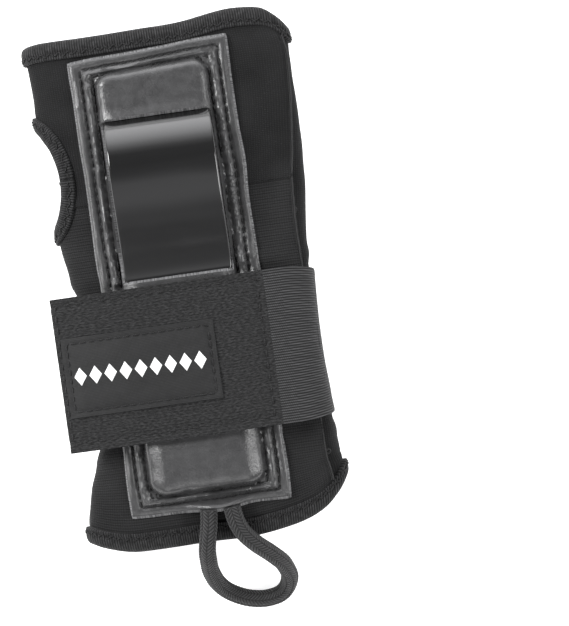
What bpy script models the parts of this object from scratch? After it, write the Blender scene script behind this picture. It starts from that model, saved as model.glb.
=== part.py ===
"""A left-hand wrist guard of the kind worn for snowboarding and skating.

A neoprene sleeve with a thumb hole carries a bent skid plate in a stitched pocket on the palm side,
a flat splint under a loop-faced patch on the back, an elastic strap with hook-and-loop tape, and a
braided pull loop. The guard lies on its back: +Z is out of the palm, +Y towards the fingers, and the
thumb is on -X. All lengths below are millimetres. Sheet parts are cut flat, then wrapped round.
"""

import math

import bmesh
import bpy
import numpy as np

MM = 0.001
ORIGIN = (-0.87, 1.8, 0)  # the middle of the guard's box without the loop, on the ground
GAP = 0.3  # kept between any two pieces that touch

# Sleeve
NEOPRENE = 3.0
SECTION_POWER = 3.0  # superellipse exponent of the flattened tube
HAND_RIM = 87.0
FOREARM_RIM = -86.0
HAND_RISE = 2.6  # the hand rim is highest over the little-finger side
HAND_CORNER = 6.0  # and rounds down at the little-finger edge
HAND_THUMB_DROP = 0.5
FOREARM_SWEEP = 5.5  # the forearm rim is cut away towards the little-finger edge
FOREARM_ROUND = 10.0  # and rounds up steeply at it
FOREARM_CORNER = 4.5
THUMB_EDGE = ((-92, -44.5), (-78, -45), (-64, -42.5), (-52, -38), (-44, -35.8), (-25, -35.2),
              (-6, -35.8), (2, -38), (18, -41.3), (45, -42.8), (92, -44.2))
LITTLE_EDGE = ((-92, 42), (-66, 42.5), (-52, 40.6), (-25, 39.3), (0, 40.2), (30, 43), (60, 44),
               (92, 43.5))
PALM_LEVEL = ((-92, 20), (-84, 23), (-74, 26.4), (-64, 28), (72, 28), (82, 27), (92, 25))
BACK_LEVEL = ((-92, 1.6), (-84, 2.6), (-74, 4.6), (-66, 5.2), (74, 5.2), (84, 4), (92, 2.8))
SHARE_CELLS = 28  # cells across one share, the same for panels and bindings
SEAM_SHARE = 26 / 28  # where the palm and back panels meet, as a share of the way across the palm
PALM_SPLIT = 31.0  # the palm is pieced across here, under the pocket

# Edge binding, folded over the raw edge
BINDING = 0.9
BINDING_LEG = 4.3
FOLD_GAP = 0.5  # between a fold's leaves and the sleeve
FOLD_ROOM = 1.5  # between the raw edge and the fold
THUMB_LEG = 3.6
THUMB_HOLE_Y = 41.0
THUMB_HOLE_HALF_LENGTH = 18.5
THUMB_HOLE_HALF_REACH = 11.4  # along the fabric, from the thumb edge

# Palm pocket
POCKET_X = -3.0
POCKET_HALF_WIDTH = 26.2
POCKET_TOP = 79.5
POCKET_BOTTOM = -74.0
COVER = 1.3
FIELD_HALF_WIDTH = 19.4  # the raised field over the splint
MARGIN_RAMP = 2.6
WINDOW = (-21.8, 15.8, 3.5, 58.0)  # x and y of the cut-out that shows the skid plate
FOAM = 1.2
SPLINT = 2.4
SPLINT_HALF_WIDTH = 18.0
SLACK = 0.6  # round a splint's ends, in its pocket
SPLINT_TOP = 71.0
SPLINT_BOTTOM = -64.0
BULGE_FOOT = 4.5
BULGE_CREST = 42.0
BULGE_HEAD = 57.2
BULGE_HEIGHT = 8.5

# Back patch
BACK_POCKET_X = 3.0
BACK_TOP = 78.0
BACK_BOTTOM = -74.0
BACK_SPLINT = 1.8
BACK_SPLINT_HALF_WIDTH = 17.0
BACK_SPLINT_BOTTOM = -60.0
BACK_COVER = 1.1
BACK_FIELD_HALF_WIDTH = 18.6
LOOP_PAD = 1.1
LOOP_PAD_BOTTOM = 6.0
LOOP_PAD_INSET = 1.4

# Strap
STRAP_TOP = 1.5
STRAP_BOTTOM = -50.0
STRAP_NARROWS = 2.2  # how much each long edge draws in round the little-finger side
ELASTIC = 1.4
TAPE = 1.0
STRAP_POWER = 4.6
STRAP_FLAT = 0.992  # the strap's section is cut off flat at this share of its half-height
ANCHOR_SHARE = 0.1  # the sewn end, on the palm side of the thumb edge
LOOP_TAPE_END = -28.5  # where the loop tape ends on the back
STRAP_HINGE_X = 30.0  # where the palm run starts to curve down
STRAP_FREE_END = -46.5
STRAP_BEND_X = -18.0  # from here the free end droops
STRAP_END_DROP = 5.0
TAPE_INSET = 1.0
LOOP_TAPE_SHARE = 0.08
HOOK_TAPE_END = 27.0
LABEL = (-44.5, 6.0, -38.5, -12.0)  # x and y
LABEL_THICK = 0.6

# Pull loop
CORD_RADIUS = 3.0
CORD_ROUTE = ((-4.2, -74.8), (-4.9, -80), (-6.2, -85.5), (-6.9, -90), (-6.9, -94), (-6.0, -98.3),
              (-3.6, -102.3), (0.2, -105.3), (5, -107.4), (10, -108.2), (14.4, -107.6),
              (17.7, -105.2), (19.2, -101.3), (18, -97), (14.3, -92.6), (9.6, -88.2),
              (5.8, -83.5), (4.1, -79), (3.5, -74.8))
CORD_HEIGHT = ((-108.2, 3.1), (-104.5, 5.4), (-100, 11), (-95, 18), (-90, 24), (-86, 27.4),
               (-80, 29.6), (-74, 30.4))
THREAD_RADIUS = 0.3

BLACK = (0.035, 0.035, 0.037)
CHARCOAL = (0.055, 0.055, 0.058)
GREY = (0.13, 0.13, 0.13)


def smooth(t):
    t = min(1.0, max(0.0, t))
    return t * t * (3 - 2 * t)


def through(points, at):
    """A smooth curve through (position, value) points, with no overshoot."""
    xs = [p[0] for p in points]
    vs = [p[1] for p in points]
    if at <= xs[0]:
        return vs[0]
    if at >= xs[-1]:
        return vs[-1]
    rises = [(v1 - v0) / (x1 - x0) for x0, x1, v0, v1 in zip(xs, xs[1:], vs, vs[1:])]
    slopes = [rises[0]]
    slopes += [2 * r * q / (r + q) if r * q > 0 else 0 for r, q in zip(rises, rises[1:])]
    slopes += [rises[-1]]
    i = int(np.searchsorted(xs, at)) - 1
    h = xs[i + 1] - xs[i]
    t = (at - xs[i]) / h
    return (vs[i] * (1 + 2 * t) * (1 - t) ** 2 + h * slopes[i] * t * (1 - t) ** 2
            + vs[i + 1] * t * t * (3 - 2 * t) + h * slopes[i + 1] * t * t * (t - 1))


class Tube:
    """A flattened tube, in sections across Y. Its surface is addressed by share and y: share runs
    0 to 1 over the palm from the thumb edge to the little-finger edge, and 1 to 2 back under it."""

    SAMPLES = 241

    def __init__(self, half_of, centre_of, power, flat=1.0):
        self.half_of = half_of
        self.centre_of = centre_of
        self.power = power
        self.flat = flat
        self.made = {}

    def section(self, y):
        key = round(y, 2)
        if key not in self.made:
            a, b = self.half_of(key)
            t = np.linspace(math.pi, 0, self.SAMPLES)
            c, s = np.cos(t), np.sin(t).clip(0)
            x = a * np.sign(c) * np.abs(c) ** (2 / self.power)
            z = np.minimum(b / self.flat * s ** (2 / self.power), b)
            run = np.concatenate([[0], np.cumsum(np.hypot(np.diff(x), np.diff(z)))])
            self.made[key] = (a, b, x, z, run / run[-1])
        return self.made[key]

    def point(self, share, y, d):
        """The point at this share and y, d outside the surface."""
        a, b, xs, zs, shares = self.section(y)
        share %= 2
        side = 1 if share <= 1 else -1
        along = share if share <= 1 else 2 - share
        x = float(np.interp(along, shares, xs))
        z = float(np.interp(along, shares, zs))
        nx = math.copysign(abs(x / a) ** (self.power - 1) / a, x)
        nz = (z / b) ** (self.power - 1) / b
        if self.flat < 1 and z > b * 0.9999:
            nx = 0
        n = math.hypot(nx, nz)
        cx, cz = self.centre_of(y)
        return (cx + x + d * nx / n, y, cz + side * (z + d * nz / n))

    def share_at(self, x, y):
        """The share on the palm side at this x."""
        _, _, xs, _, shares = self.section(y)
        return float(np.interp(x - self.centre_of(y)[0], xs, shares))


def sleeve_half(y):
    return ((through(LITTLE_EDGE, y) - through(THUMB_EDGE, y)) / 2,
            (through(PALM_LEVEL, y) - through(BACK_LEVEL, y)) / 2)


def sleeve_centre(y):
    return ((through(LITTLE_EDGE, y) + through(THUMB_EDGE, y)) / 2,
            (through(PALM_LEVEL, y) + through(BACK_LEVEL, y)) / 2)


SLEEVE = Tube(sleeve_half, sleeve_centre, SECTION_POWER)

PALM_STACK = GAP + FOAM + GAP + SPLINT + GAP + COVER  # sleeve to the pocket's raised field
STRAP_INNER_LOW = ELASTIC  # height of the strap's inner face under the back
SLEEVE_TOP = 28.0  # height of the palm side under the pocket
STRAP_INNER_HIGH = SLEEVE_TOP + PALM_STACK + GAP + TAPE + GAP + 0.5
STRAP_MID = (STRAP_INNER_HIGH + STRAP_INNER_LOW) / 2


def strap_half(y):
    a, _ = sleeve_half(y)
    return a + GAP, (STRAP_INNER_HIGH - STRAP_INNER_LOW) / 2


def strap_centre(y):
    return sleeve_centre(y)[0], STRAP_MID


STRAP = Tube(strap_half, strap_centre, STRAP_POWER, STRAP_FLAT)


def rim_shift(share, y):
    """How far the sleeve's cut ends stand off their nominal lines."""
    a, _ = sleeve_half(y)
    u = (SLEEVE.point(share, y, 0)[0] - sleeve_centre(y)[0]) / a
    hand = HAND_RISE * math.exp(-((u - 0.62) / 0.35) ** 2)
    hand -= HAND_CORNER * max(0, (u - 0.8) / 0.2) ** 2
    hand -= HAND_THUMB_DROP * max(0, (-u - 0.85) / 0.15) ** 2
    swept = max(0, (u - 0.15) / 0.85)
    forearm = FOREARM_SWEEP * swept**1.6 + FOREARM_ROUND * swept**6
    forearm += FOREARM_CORNER * max(0, (-u - 0.6) / 0.4) ** 2
    return hand * smooth((y - 62) / 22) + forearm * smooth((-y - 58) / 24)


def on_sleeve(share, y, d):
    return SLEEVE.point(share, y + rim_shift(share, y), d)


def on_palm(x, y, d):
    return SLEEVE.point(SLEEVE.share_at(x, y), y, d)


def on_back(x, y, d):
    return SLEEVE.point(2 - SLEEVE.share_at(x, y), y, d)


# ---------------------------------------------------------------- scene and mesh helpers


def clear_scene():
    for obj in list(bpy.data.objects):
        bpy.data.objects.remove(obj)


def collection(name):
    made = bpy.data.collections.new(name)
    bpy.context.scene.collection.children.link(made)
    return made


def material(name, colour, roughness, metallic=0.0):
    made = bpy.data.materials.new(name)
    made.use_nodes = True
    shader = made.node_tree.nodes["Principled BSDF"]
    shader.inputs["Base Color"].default_value = (*colour, 1)
    shader.inputs["Roughness"].default_value = roughness
    shader.inputs["Metallic"].default_value = metallic
    return made


def from_bmesh(name, bm, skin):
    mesh = bpy.data.meshes.new(name)
    bm.to_mesh(mesh)
    bm.free()
    obj = bpy.data.objects.new(name, mesh)
    bpy.data.collections["wrist_guard"].objects.link(obj)
    if skin:
        obj.data.materials.append(bpy.data.materials[skin])
    return obj


def evaluated_mesh(obj):
    graph = bpy.context.evaluated_depsgraph_get()
    return bpy.data.meshes.new_from_object(obj.evaluated_get(graph))


def placed(point):
    """From the lengths above to the object's own frame, in metres."""
    return [(c - o) * MM for c, o in zip(point, ORIGIN)]


def wrap_points(mesh, wrap):
    for v in mesh.vertices:
        v.co = placed(wrap(*v.co))
    mesh.update()


def box_cutter(x0, x1, y0, y1, radius):
    """A tall rounded box for cutting flat sheets."""
    bm = bmesh.new()
    bmesh.ops.create_cube(bm, size=1)
    bmesh.ops.scale(bm, vec=(x1 - x0, y1 - y0, 60), verts=bm.verts)
    bmesh.ops.translate(bm, vec=((x0 + x1) / 2, (y0 + y1) / 2, 0), verts=bm.verts)
    upright = [e for e in bm.edges if abs(e.verts[0].co.z - e.verts[1].co.z) > 1]
    bmesh.ops.bevel(bm, geom=upright, offset=radius, segments=3, affect="EDGES", profile=0.5)
    return from_bmesh("cutter", bm, None)


def oval_cutter(x, y, half_x, half_y):
    bm = bmesh.new()
    bmesh.ops.create_cone(bm, cap_ends=True, segments=40, radius1=1, radius2=1, depth=60)
    bmesh.ops.scale(bm, vec=(half_x, half_y, 1), verts=bm.verts)
    bmesh.ops.translate(bm, vec=(x, y, 0), verts=bm.verts)
    return from_bmesh("cutter", bm, None)


def evenly(start, end, cells):
    return [start + (end - start) * i / cells for i in range(cells + 1)]


def sheet(name, xs, ys, thick, wrap, skin, cutters=()):
    """A sheet cut flat and creased at the lines xs and ys, then wrapped: wrap takes x, y and the
    height in the sheet."""
    across, along = len(xs) - 1, len(ys) - 1
    bm = bmesh.new()
    bmesh.ops.create_grid(bm, x_segments=across, y_segments=along, size=0.5)
    for v in bm.verts:
        v.co.x = xs[round((v.co.x + 0.5) * across)]
        v.co.y = ys[round((v.co.y + 0.5) * along)]
    obj = from_bmesh(name, bm, skin)
    solid = obj.modifiers.new("thickness", "SOLIDIFY")
    solid.thickness = thick
    solid.offset = 1
    for cutter in cutters:
        cut = obj.modifiers.new("cut", "BOOLEAN")
        cut.object = cutter
    mesh = evaluated_mesh(obj)
    obj.modifiers.clear()
    obj.data = mesh
    wrap_points(mesh, wrap)
    for cutter in cutters:
        bpy.data.objects.remove(cutter)
    return face_outwards(obj)


def face_outwards(obj):
    bm = bmesh.new()
    bm.from_mesh(obj.data)
    bmesh.ops.remove_doubles(bm, verts=bm.verts, dist=0.01 * MM)
    bmesh.ops.recalc_face_normals(bm, faces=bm.faces)
    if bm.calc_volume(signed=True) < 0:
        bmesh.ops.reverse_faces(bm, faces=bm.faces)
    bm.to_mesh(obj.data)
    bm.free()
    return obj


def ring(name, steps, profile, wrap, skin):
    """A closed ring: wrap(turn, w, d) places each point of the closed profile of (w, d) pairs."""
    sides = len(profile)
    bm = bmesh.new()
    bmesh.ops.create_grid(bm, x_segments=steps, y_segments=sides, size=0.5)
    for v in bm.verts:
        turn = round((v.co.x + 0.5) * steps) % steps / steps
        corner = round((v.co.y + 0.5) * sides) % sides
        v.co = placed(wrap(turn, *profile[corner]))
    return face_outwards(from_bmesh(name, bm, skin))


def fold_profile(leg):
    """A binding folded over the sleeve's raw edge: w is measured from that edge into the sleeve."""
    out, low = FOLD_GAP, -NEOPRENE - FOLD_GAP
    web = -FOLD_ROOM - BINDING
    return ((web, out + BINDING), (leg, out + BINDING), (leg, out), (-FOLD_ROOM, out),
            (-FOLD_ROOM, low), (leg, low), (leg, low - BINDING), (web, low - BINDING))


def wire(name, points, radius, skin, cyclic, resolution):
    curve = bpy.data.curves.new(name, "CURVE")
    curve.dimensions = "3D"
    spline = curve.splines.new("POLY")
    spline.points.add(len(points) - 1)
    for place, p in zip(spline.points, points):
        place.co = (*placed(p), 1)
    spline.use_cyclic_u = cyclic
    curve.bevel_depth = radius * MM
    curve.bevel_resolution = resolution
    curve.use_fill_caps = not cyclic
    obj = bpy.data.objects.new(name, curve)
    obj.data.materials.append(bpy.data.materials[skin])
    bpy.data.collections["wrist_guard"].objects.link(obj)
    return obj


# ---------------------------------------------------------------- sleeve

FLAT = 100.0  # the flat pattern's length for one share


def pattern(x, y, d):
    """From the flat pattern to the sleeve, whose outer face is the sheet's top."""
    return on_sleeve(x / FLAT, y, d - NEOPRENE)


def thumb_cutter(share, half_perimeter):
    scale = FLAT / half_perimeter
    return oval_cutter(share * FLAT, THUMB_HOLE_Y, THUMB_HOLE_HALF_REACH * scale,
                       THUMB_HOLE_HALF_LENGTH)


def half_perimeter_at(y):
    _, _, xs, zs, _ = SLEEVE.section(y)
    return float(np.hypot(np.diff(xs), np.diff(zs)).sum())


def share_lines(start, end):
    """Lines of the flat pattern from start to end, in step with the bindings."""
    step = FLAT / SHARE_CELLS
    inner = [step * k for k in range(2 * SHARE_CELLS + 1)]
    return [start, *[x for x in inner if start + 0.5 < x < end - 0.5], end]


def sleeve_panels():
    reach = half_perimeter_at(THUMB_HOLE_Y)
    low, high = FOREARM_RIM + BINDING + FOLD_ROOM, HAND_RIM - BINDING - FOLD_ROOM
    lap = GAP / 2
    seam = SEAM_SHARE * FLAT
    palm, back = share_lines(lap, seam - lap), share_lines(seam + lap, 2 * FLAT - lap)
    bound_low, bound_high = low + BINDING_LEG, high - BINDING_LEG
    sheet("palm_panel_hand", palm, [*evenly(PALM_SPLIT + lap, bound_high, 7), high], NEOPRENE,
          pattern, "neoprene", [thumb_cutter(0, reach)])
    sheet("palm_panel_wrist", palm, [low, *evenly(bound_low, PALM_SPLIT - lap, 14)], NEOPRENE,
          pattern, "neoprene", [thumb_cutter(0, reach)])
    sheet("back_panel", back, [low, *evenly(bound_low, bound_high, 21), high], NEOPRENE, pattern,
          "neoprene", [thumb_cutter(2, reach)])


def rim_binding(name, rim, inward):
    def wrap(turn, w, d):
        return on_sleeve(2 * turn, rim + inward * (w + BINDING + FOLD_ROOM), d)

    ring(name, 2 * SHARE_CELLS, fold_profile(BINDING_LEG), wrap, "binding")


def thumb_binding():
    reach = half_perimeter_at(THUMB_HOLE_Y)

    def wrap(turn, w, d):
        angle = 2 * math.pi * turn
        c, s = math.cos(angle), math.sin(angle)
        across, along = THUMB_HOLE_HALF_REACH * c, THUMB_HOLE_HALF_LENGTH * s
        nx, ny = c / THUMB_HOLE_HALF_REACH, s / THUMB_HOLE_HALF_LENGTH
        n = math.hypot(nx, ny)
        across += w * nx / n
        along += w * ny / n
        return on_sleeve(across / reach, THUMB_HOLE_Y + along, d)

    ring("thumb_hole_binding", 40, fold_profile(THUMB_LEG), wrap, "binding")


# ---------------------------------------------------------------- palm pocket


def splint_level():
    return through(PALM_LEVEL, 0) + GAP + FOAM + GAP


def bulge(y):
    """Height of the skid plate's bow above its flat ends: steep at the hand, long at the wrist."""
    if BULGE_FOOT < y <= BULGE_CREST:
        return BULGE_HEIGHT * math.sin(0.5 * math.pi * (y - BULGE_FOOT)
                                       / (BULGE_CREST - BULGE_FOOT)) ** 1.25
    if BULGE_CREST < y < BULGE_HEAD:
        return BULGE_HEIGHT * (1 - ((y - BULGE_CREST) / (BULGE_HEAD - BULGE_CREST)) ** 2.4)
    return 0.0


def field_share(x, y, centre, half_width, top, bottom):
    """0 on the cover's stitched margin, rising to 1 on its field over the splint."""
    side = smooth((half_width + MARGIN_RAMP - abs(x - centre)) / MARGIN_RAMP)
    end = smooth((min(top - y, y - bottom) + MARGIN_RAMP) / MARGIN_RAMP)
    return side * end


def pocket_lines(centre, half_width, field_half, bottom, top, field_bottom, field_top, rows):
    """Crease lines across and along a cover: its edges, the foot and head of the step, the field."""
    step = MARGIN_RAMP
    left, right = centre - field_half, centre + field_half
    xs = [centre - half_width, left - step, left - step / 2, *evenly(left, right, 8),
          right + step / 2, right + step, centre + half_width]
    ys = [bottom, field_bottom - step, field_bottom - step / 2,
          *evenly(field_bottom, field_top, rows), field_top + step / 2, field_top + step, top]
    return xs, ys


def palm_cover(x, y, d):
    lying = on_palm(x, y, GAP + d)
    share = field_share(x, y, POCKET_X, FIELD_HALF_WIDTH, SPLINT_TOP + SLACK,
                        SPLINT_BOTTOM - SLACK)
    field = splint_level() + SPLINT + GAP + d
    return lying[0], lying[1], lying[2] * (1 - share) + field * share


def palm_foam(x, y, d):
    """Foam fills from the sleeve to the splint's flat underside."""
    lying = on_palm(x, y, GAP)
    return lying[0], lying[1], lying[2] + (splint_level() - GAP - lying[2]) * d / FOAM


def palm_lines():
    return pocket_lines(POCKET_X, POCKET_HALF_WIDTH, FIELD_HALF_WIDTH, POCKET_BOTTOM, POCKET_TOP,
                        SPLINT_BOTTOM - SLACK, SPLINT_TOP + SLACK, 13)


def palm_pocket():
    left, right = POCKET_X - SPLINT_HALF_WIDTH, POCKET_X + SPLINT_HALF_WIDTH
    sheet("palm_pocket_cover", *palm_lines(), COVER, palm_cover, "vinyl",
          [box_cutter(*WINDOW, 3)])
    sheet("palm_foam_pad", evenly(left, right, 6), evenly(SPLINT_BOTTOM, SPLINT_TOP, 10), FOAM,
          palm_foam, "foam")
    level = splint_level()
    bowed = evenly(BULGE_FOOT, BULGE_CREST, 14) + evenly(BULGE_CREST, BULGE_HEAD, 10)[1:]
    sheet("palm_skid_plate", [left, right], [SPLINT_BOTTOM, *bowed, SPLINT_TOP], SPLINT,
          lambda x, y, d: (x, y, level + bulge(y) + d), "gloss_abs")


# ---------------------------------------------------------------- back patch


def back_level():
    return through(BACK_LEVEL, 0) - GAP


def back_cover(x, y, d):
    lying = on_back(x, y, GAP + d)
    share = field_share(x, y, BACK_POCKET_X, BACK_FIELD_HALF_WIDTH, SPLINT_TOP + SLACK,
                        BACK_SPLINT_BOTTOM - SLACK)
    field = back_level() - BACK_SPLINT - GAP - d
    return lying[0], lying[1], lying[2] * (1 - share) + field * share


def back_patch():
    xs, ys = pocket_lines(BACK_POCKET_X, POCKET_HALF_WIDTH, BACK_FIELD_HALF_WIDTH, BACK_BOTTOM,
                          BACK_TOP, BACK_SPLINT_BOTTOM - SLACK, SPLINT_TOP + SLACK, 13)
    sheet("back_pocket_cover", xs, ys, BACK_COVER, back_cover, "vinyl")
    narrow = BACK_SPLINT_HALF_WIDTH
    sheet("back_splint", [BACK_POCKET_X - narrow, BACK_POCKET_X + narrow],
          [BACK_SPLINT_BOTTOM, SPLINT_TOP], BACK_SPLINT,
          lambda x, y, d: (x, y, back_level() - d), "splint_abs")
    padded = [LOOP_PAD_BOTTOM, *[y for y in ys if y > LOOP_PAD_BOTTOM + 1]]
    sheet("back_loop_pad", [xs[0] + LOOP_PAD_INSET, *xs[1:-1], xs[-1] - LOOP_PAD_INSET], padded,
          LOOP_PAD, lambda x, y, d: back_cover(x, y, BACK_COVER + GAP + d), "loop_pile")


# ---------------------------------------------------------------- strap


def strap_edge(share, y):
    """The long edges draw in round the little-finger side and along the back."""
    middle = (STRAP_TOP + STRAP_BOTTOM) / 2
    narrow = STRAP_NARROWS * smooth((share - 0.78) / 0.2)
    return middle + (y - middle) * (1 - 2 * narrow / (STRAP_TOP - STRAP_BOTTOM))


def strap_anchor(x, y, d):
    """The run that is sewn round the thumb edge blends into the taut run under the back."""
    share = x / FLAT
    y = strap_edge(2, y)
    hugging = np.array(SLEEVE.point(share, y, GAP + d))
    taut = np.array(STRAP.point(share, y, d))
    blend = smooth((1.95 - share) / 0.17)
    return tuple(hugging * (1 - blend) + taut * blend)


def strap_turn(part, y, d):
    """The run that curves down the little-finger side: part goes from 0 at the palm to 1 half-way."""
    start = STRAP.share_at(STRAP_HINGE_X + GAP / 2, y)
    share = start + (1 - GAP / 2 / FLAT - start) * part
    return STRAP.point(share, strap_edge(share, y), d)


def palm_run(x, y, d):
    """The palm run lies across the pocket and hangs out past the thumb edge."""
    if x > 0:
        share = STRAP.share_at(x, y)
        return STRAP.point(share, strap_edge(share, y), d)
    reach = STRAP_BEND_X - STRAP_FREE_END
    out = max(0.0, (STRAP_BEND_X - x) / reach)
    slope = 2 * STRAP_END_DROP * out / reach
    n = math.hypot(1, slope)
    return (x - d * slope / n, y, STRAP_INNER_HIGH - STRAP_END_DROP * out**2 + d / n)


def strap_tapes(rows):
    """The hook tape is sewn under the palm run, the loop tape on the sewn end of the back run."""
    low, high = STRAP_BOTTOM + TAPE_INSET, STRAP_TOP - TAPE_INSET
    sheet("hook_tape", evenly(STRAP_FREE_END + 3, HOOK_TAPE_END, 18), evenly(low, high, rows), TAPE,
          lambda x, y, d: palm_run(x, y, d - TAPE - GAP), "hook")
    start = 2 - SLEEVE.share_at(LOOP_TAPE_END, (low + high) / 2)
    sheet("loop_tape", evenly(start * FLAT, (2 + LOOP_TAPE_SHARE) * FLAT, 16),
          evenly(low, high, rows), TAPE,
          lambda x, y, d: strap_anchor(x, y, ELASTIC + GAP + d), "loop_pile")


def strap():
    rows = 4
    along = evenly(STRAP_BOTTOM, STRAP_TOP, rows)
    back = evenly(FLAT + GAP / 2, (2 + ANCHOR_SHARE) * FLAT, 40)
    sheet("strap_back_run", back, along, ELASTIC, strap_anchor, "elastic")
    sheet("strap_side_run", evenly(0, 1, 14), along, ELASTIC, strap_turn, "elastic")
    sheet("strap_palm_run", evenly(STRAP_FREE_END, STRAP_HINGE_X - GAP / 2, 20), along, ELASTIC,
          palm_run, "elastic")
    strap_tapes(rows)
    x0, x1, y0, y1 = LABEL
    sheet("strap_label", evenly(x0, x1, 12), [y0, y1], LABEL_THICK,
          lambda x, y, d: palm_run(x, y, ELASTIC + GAP + d), "label")


# ---------------------------------------------------------------- thread and cord


def rectangle(xs, ys):
    """Points round a rectangle, counter-clockwise, one at each crease line."""
    points = [(x, ys[0]) for x in xs[:-1]] + [(xs[-1], y) for y in ys[:-1]]
    return points + [(x, ys[-1]) for x in xs[:0:-1]] + [(xs[0], y) for y in ys[:0:-1]]


def seam(name, xs, ys, wrap, thick):
    """A row of stitching, as one closed thread lying just on the cloth."""
    lift = thick + GAP + THREAD_RADIUS
    points = [wrap(x, y, lift) for x, y in rectangle(xs, ys)]
    wire(name, points, THREAD_RADIUS, "thread", True, 0)


def inset_lines(lines, start, end):
    """The crease lines between start and end, with those two at the ends."""
    return [start, *[v for v in lines if start + 1 < v < end - 1], end]


def stitching():
    xs, ys = palm_lines()
    for name, side, low, high in (("palm_pocket_outer_seam", 3.2, 2.9, 2.9),
                                  ("palm_pocket_inner_seam", 0.6, 6.2, 5)):
        half = POCKET_HALF_WIDTH - side
        if name == "palm_pocket_inner_seam":
            half = FIELD_HALF_WIDTH + MARGIN_RAMP + side - 0.2
        seam(name, inset_lines(xs, POCKET_X - half, POCKET_X + half),
             inset_lines(ys, POCKET_BOTTOM + low, POCKET_TOP - high), palm_cover, COVER)
    half = POCKET_HALF_WIDTH - 2.6
    seam("back_pocket_seam", evenly(BACK_POCKET_X - half, BACK_POCKET_X + half, 10),
         evenly(BACK_BOTTOM + 3, 4.5, 12), back_cover, BACK_COVER)
    seam("hook_tape_seam", evenly(STRAP_FREE_END + 1, 22, 16),
         evenly(STRAP_BOTTOM + 3, STRAP_TOP - 2.5, 3), palm_run, ELASTIC)
    x0, x1, y0, y1 = LABEL
    seam("label_seam", evenly(x0 + 1.8, x1 - 1.8, 12), evenly(y0 + 2, y1 - 2, 2), palm_run,
         ELASTIC + GAP + LABEL_THICK)


def along_curve(points, step):
    """Points step apart on a smooth curve through the given ones."""
    points = np.array(points, float)
    run = np.concatenate([[0], np.cumsum(np.linalg.norm(np.diff(points, axis=0), axis=1))])
    count = max(2, round(run[-1] / step))
    tables = [tuple(zip(run, points[:, k])) for k in range(points.shape[1])]
    return [tuple(through(t, run[-1] * i / count) for t in tables) for i in range(count + 1)]


def pull_loop():
    route = [(x, y, through(CORD_HEIGHT, y)) for x, y in CORD_ROUTE]
    wire("pull_loop_cord", along_curve(route, 5), CORD_RADIUS, "cord", False, 2)


def main():
    clear_scene()
    collection("wrist_guard")
    material("neoprene", CHARCOAL, 0.9)
    material("binding", BLACK, 0.85)
    material("vinyl", GREY, 0.5)
    material("gloss_abs", BLACK, 0.15)
    material("splint_abs", BLACK, 0.4)
    material("foam", CHARCOAL, 0.95)
    material("loop_pile", BLACK, 1.0)
    material("elastic", CHARCOAL, 0.85)
    material("hook", CHARCOAL, 0.6)
    material("label", BLACK, 0.7)
    material("thread", BLACK, 0.6)
    material("cord", BLACK, 0.8)
    sleeve_panels()
    rim_binding("hand_binding", HAND_RIM, -1)
    rim_binding("forearm_binding", FOREARM_RIM, 1)
    thumb_binding()
    palm_pocket()
    back_patch()
    strap()
    stitching()
    pull_loop()


main()
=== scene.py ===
"""The looks of a left-hand wrist guard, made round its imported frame.

Lengths in the shapes below are millimetres in the sewing frame that part.py uses, and world() takes
them to the row frame in metres. Sheets are laid out flat in (u, v), then wrapped on the sleeve or
the strap.
"""

import math

import bmesh
import bpy
import numpy as np
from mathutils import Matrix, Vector

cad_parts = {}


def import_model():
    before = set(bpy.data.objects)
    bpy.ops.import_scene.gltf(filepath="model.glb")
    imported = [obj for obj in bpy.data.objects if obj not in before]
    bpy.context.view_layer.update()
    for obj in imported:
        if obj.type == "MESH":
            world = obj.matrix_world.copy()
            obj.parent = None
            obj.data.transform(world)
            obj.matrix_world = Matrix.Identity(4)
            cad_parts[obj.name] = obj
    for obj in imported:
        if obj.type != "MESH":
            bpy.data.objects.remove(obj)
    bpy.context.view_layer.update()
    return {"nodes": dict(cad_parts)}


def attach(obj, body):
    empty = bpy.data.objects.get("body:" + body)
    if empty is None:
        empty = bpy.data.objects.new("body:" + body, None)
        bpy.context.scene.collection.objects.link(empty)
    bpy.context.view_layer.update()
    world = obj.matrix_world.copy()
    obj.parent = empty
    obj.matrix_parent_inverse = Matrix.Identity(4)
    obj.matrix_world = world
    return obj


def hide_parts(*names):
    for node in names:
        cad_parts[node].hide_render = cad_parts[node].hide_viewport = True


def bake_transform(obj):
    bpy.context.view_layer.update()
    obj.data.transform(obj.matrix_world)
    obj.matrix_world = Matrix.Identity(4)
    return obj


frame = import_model()

MM = 0.001
ORIGIN = np.array((-0.87, 1.8, 0.0))

# Sleeve, pocket and strap, as in part.py
NEOPRENE = 3.0
GAP = 0.3
SECTION_POWER = 3.0
HAND_RIM = 87.0
FOREARM_RIM = -86.0
FOLD = 2.4  # from a rim to the sleeve's raw edge, inside the binding
HAND_RISE = 2.6
HAND_CORNER = 6.0
HAND_THUMB_DROP = 0.5
FOREARM_SWEEP = 5.5
FOREARM_ROUND = 10.0
FOREARM_CORNER = 4.5
THUMB_EDGE = ((-92, -44.5), (-78, -45), (-64, -42.5), (-52, -38), (-44, -35.8), (-25, -35.2),
              (-6, -35.8), (2, -38), (18, -41.3), (45, -42.8), (92, -44.2))
LITTLE_EDGE = ((-92, 42), (-66, 42.5), (-52, 40.6), (-25, 39.3), (0, 40.2), (30, 43), (60, 44),
               (92, 43.5))
PALM_LEVEL = ((-92, 20), (-84, 23), (-74, 26.4), (-64, 28), (72, 28), (82, 27), (92, 25))
BACK_LEVEL = ((-92, 1.6), (-84, 2.6), (-74, 4.6), (-66, 5.2), (74, 5.2), (84, 4), (92, 2.8))
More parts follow.
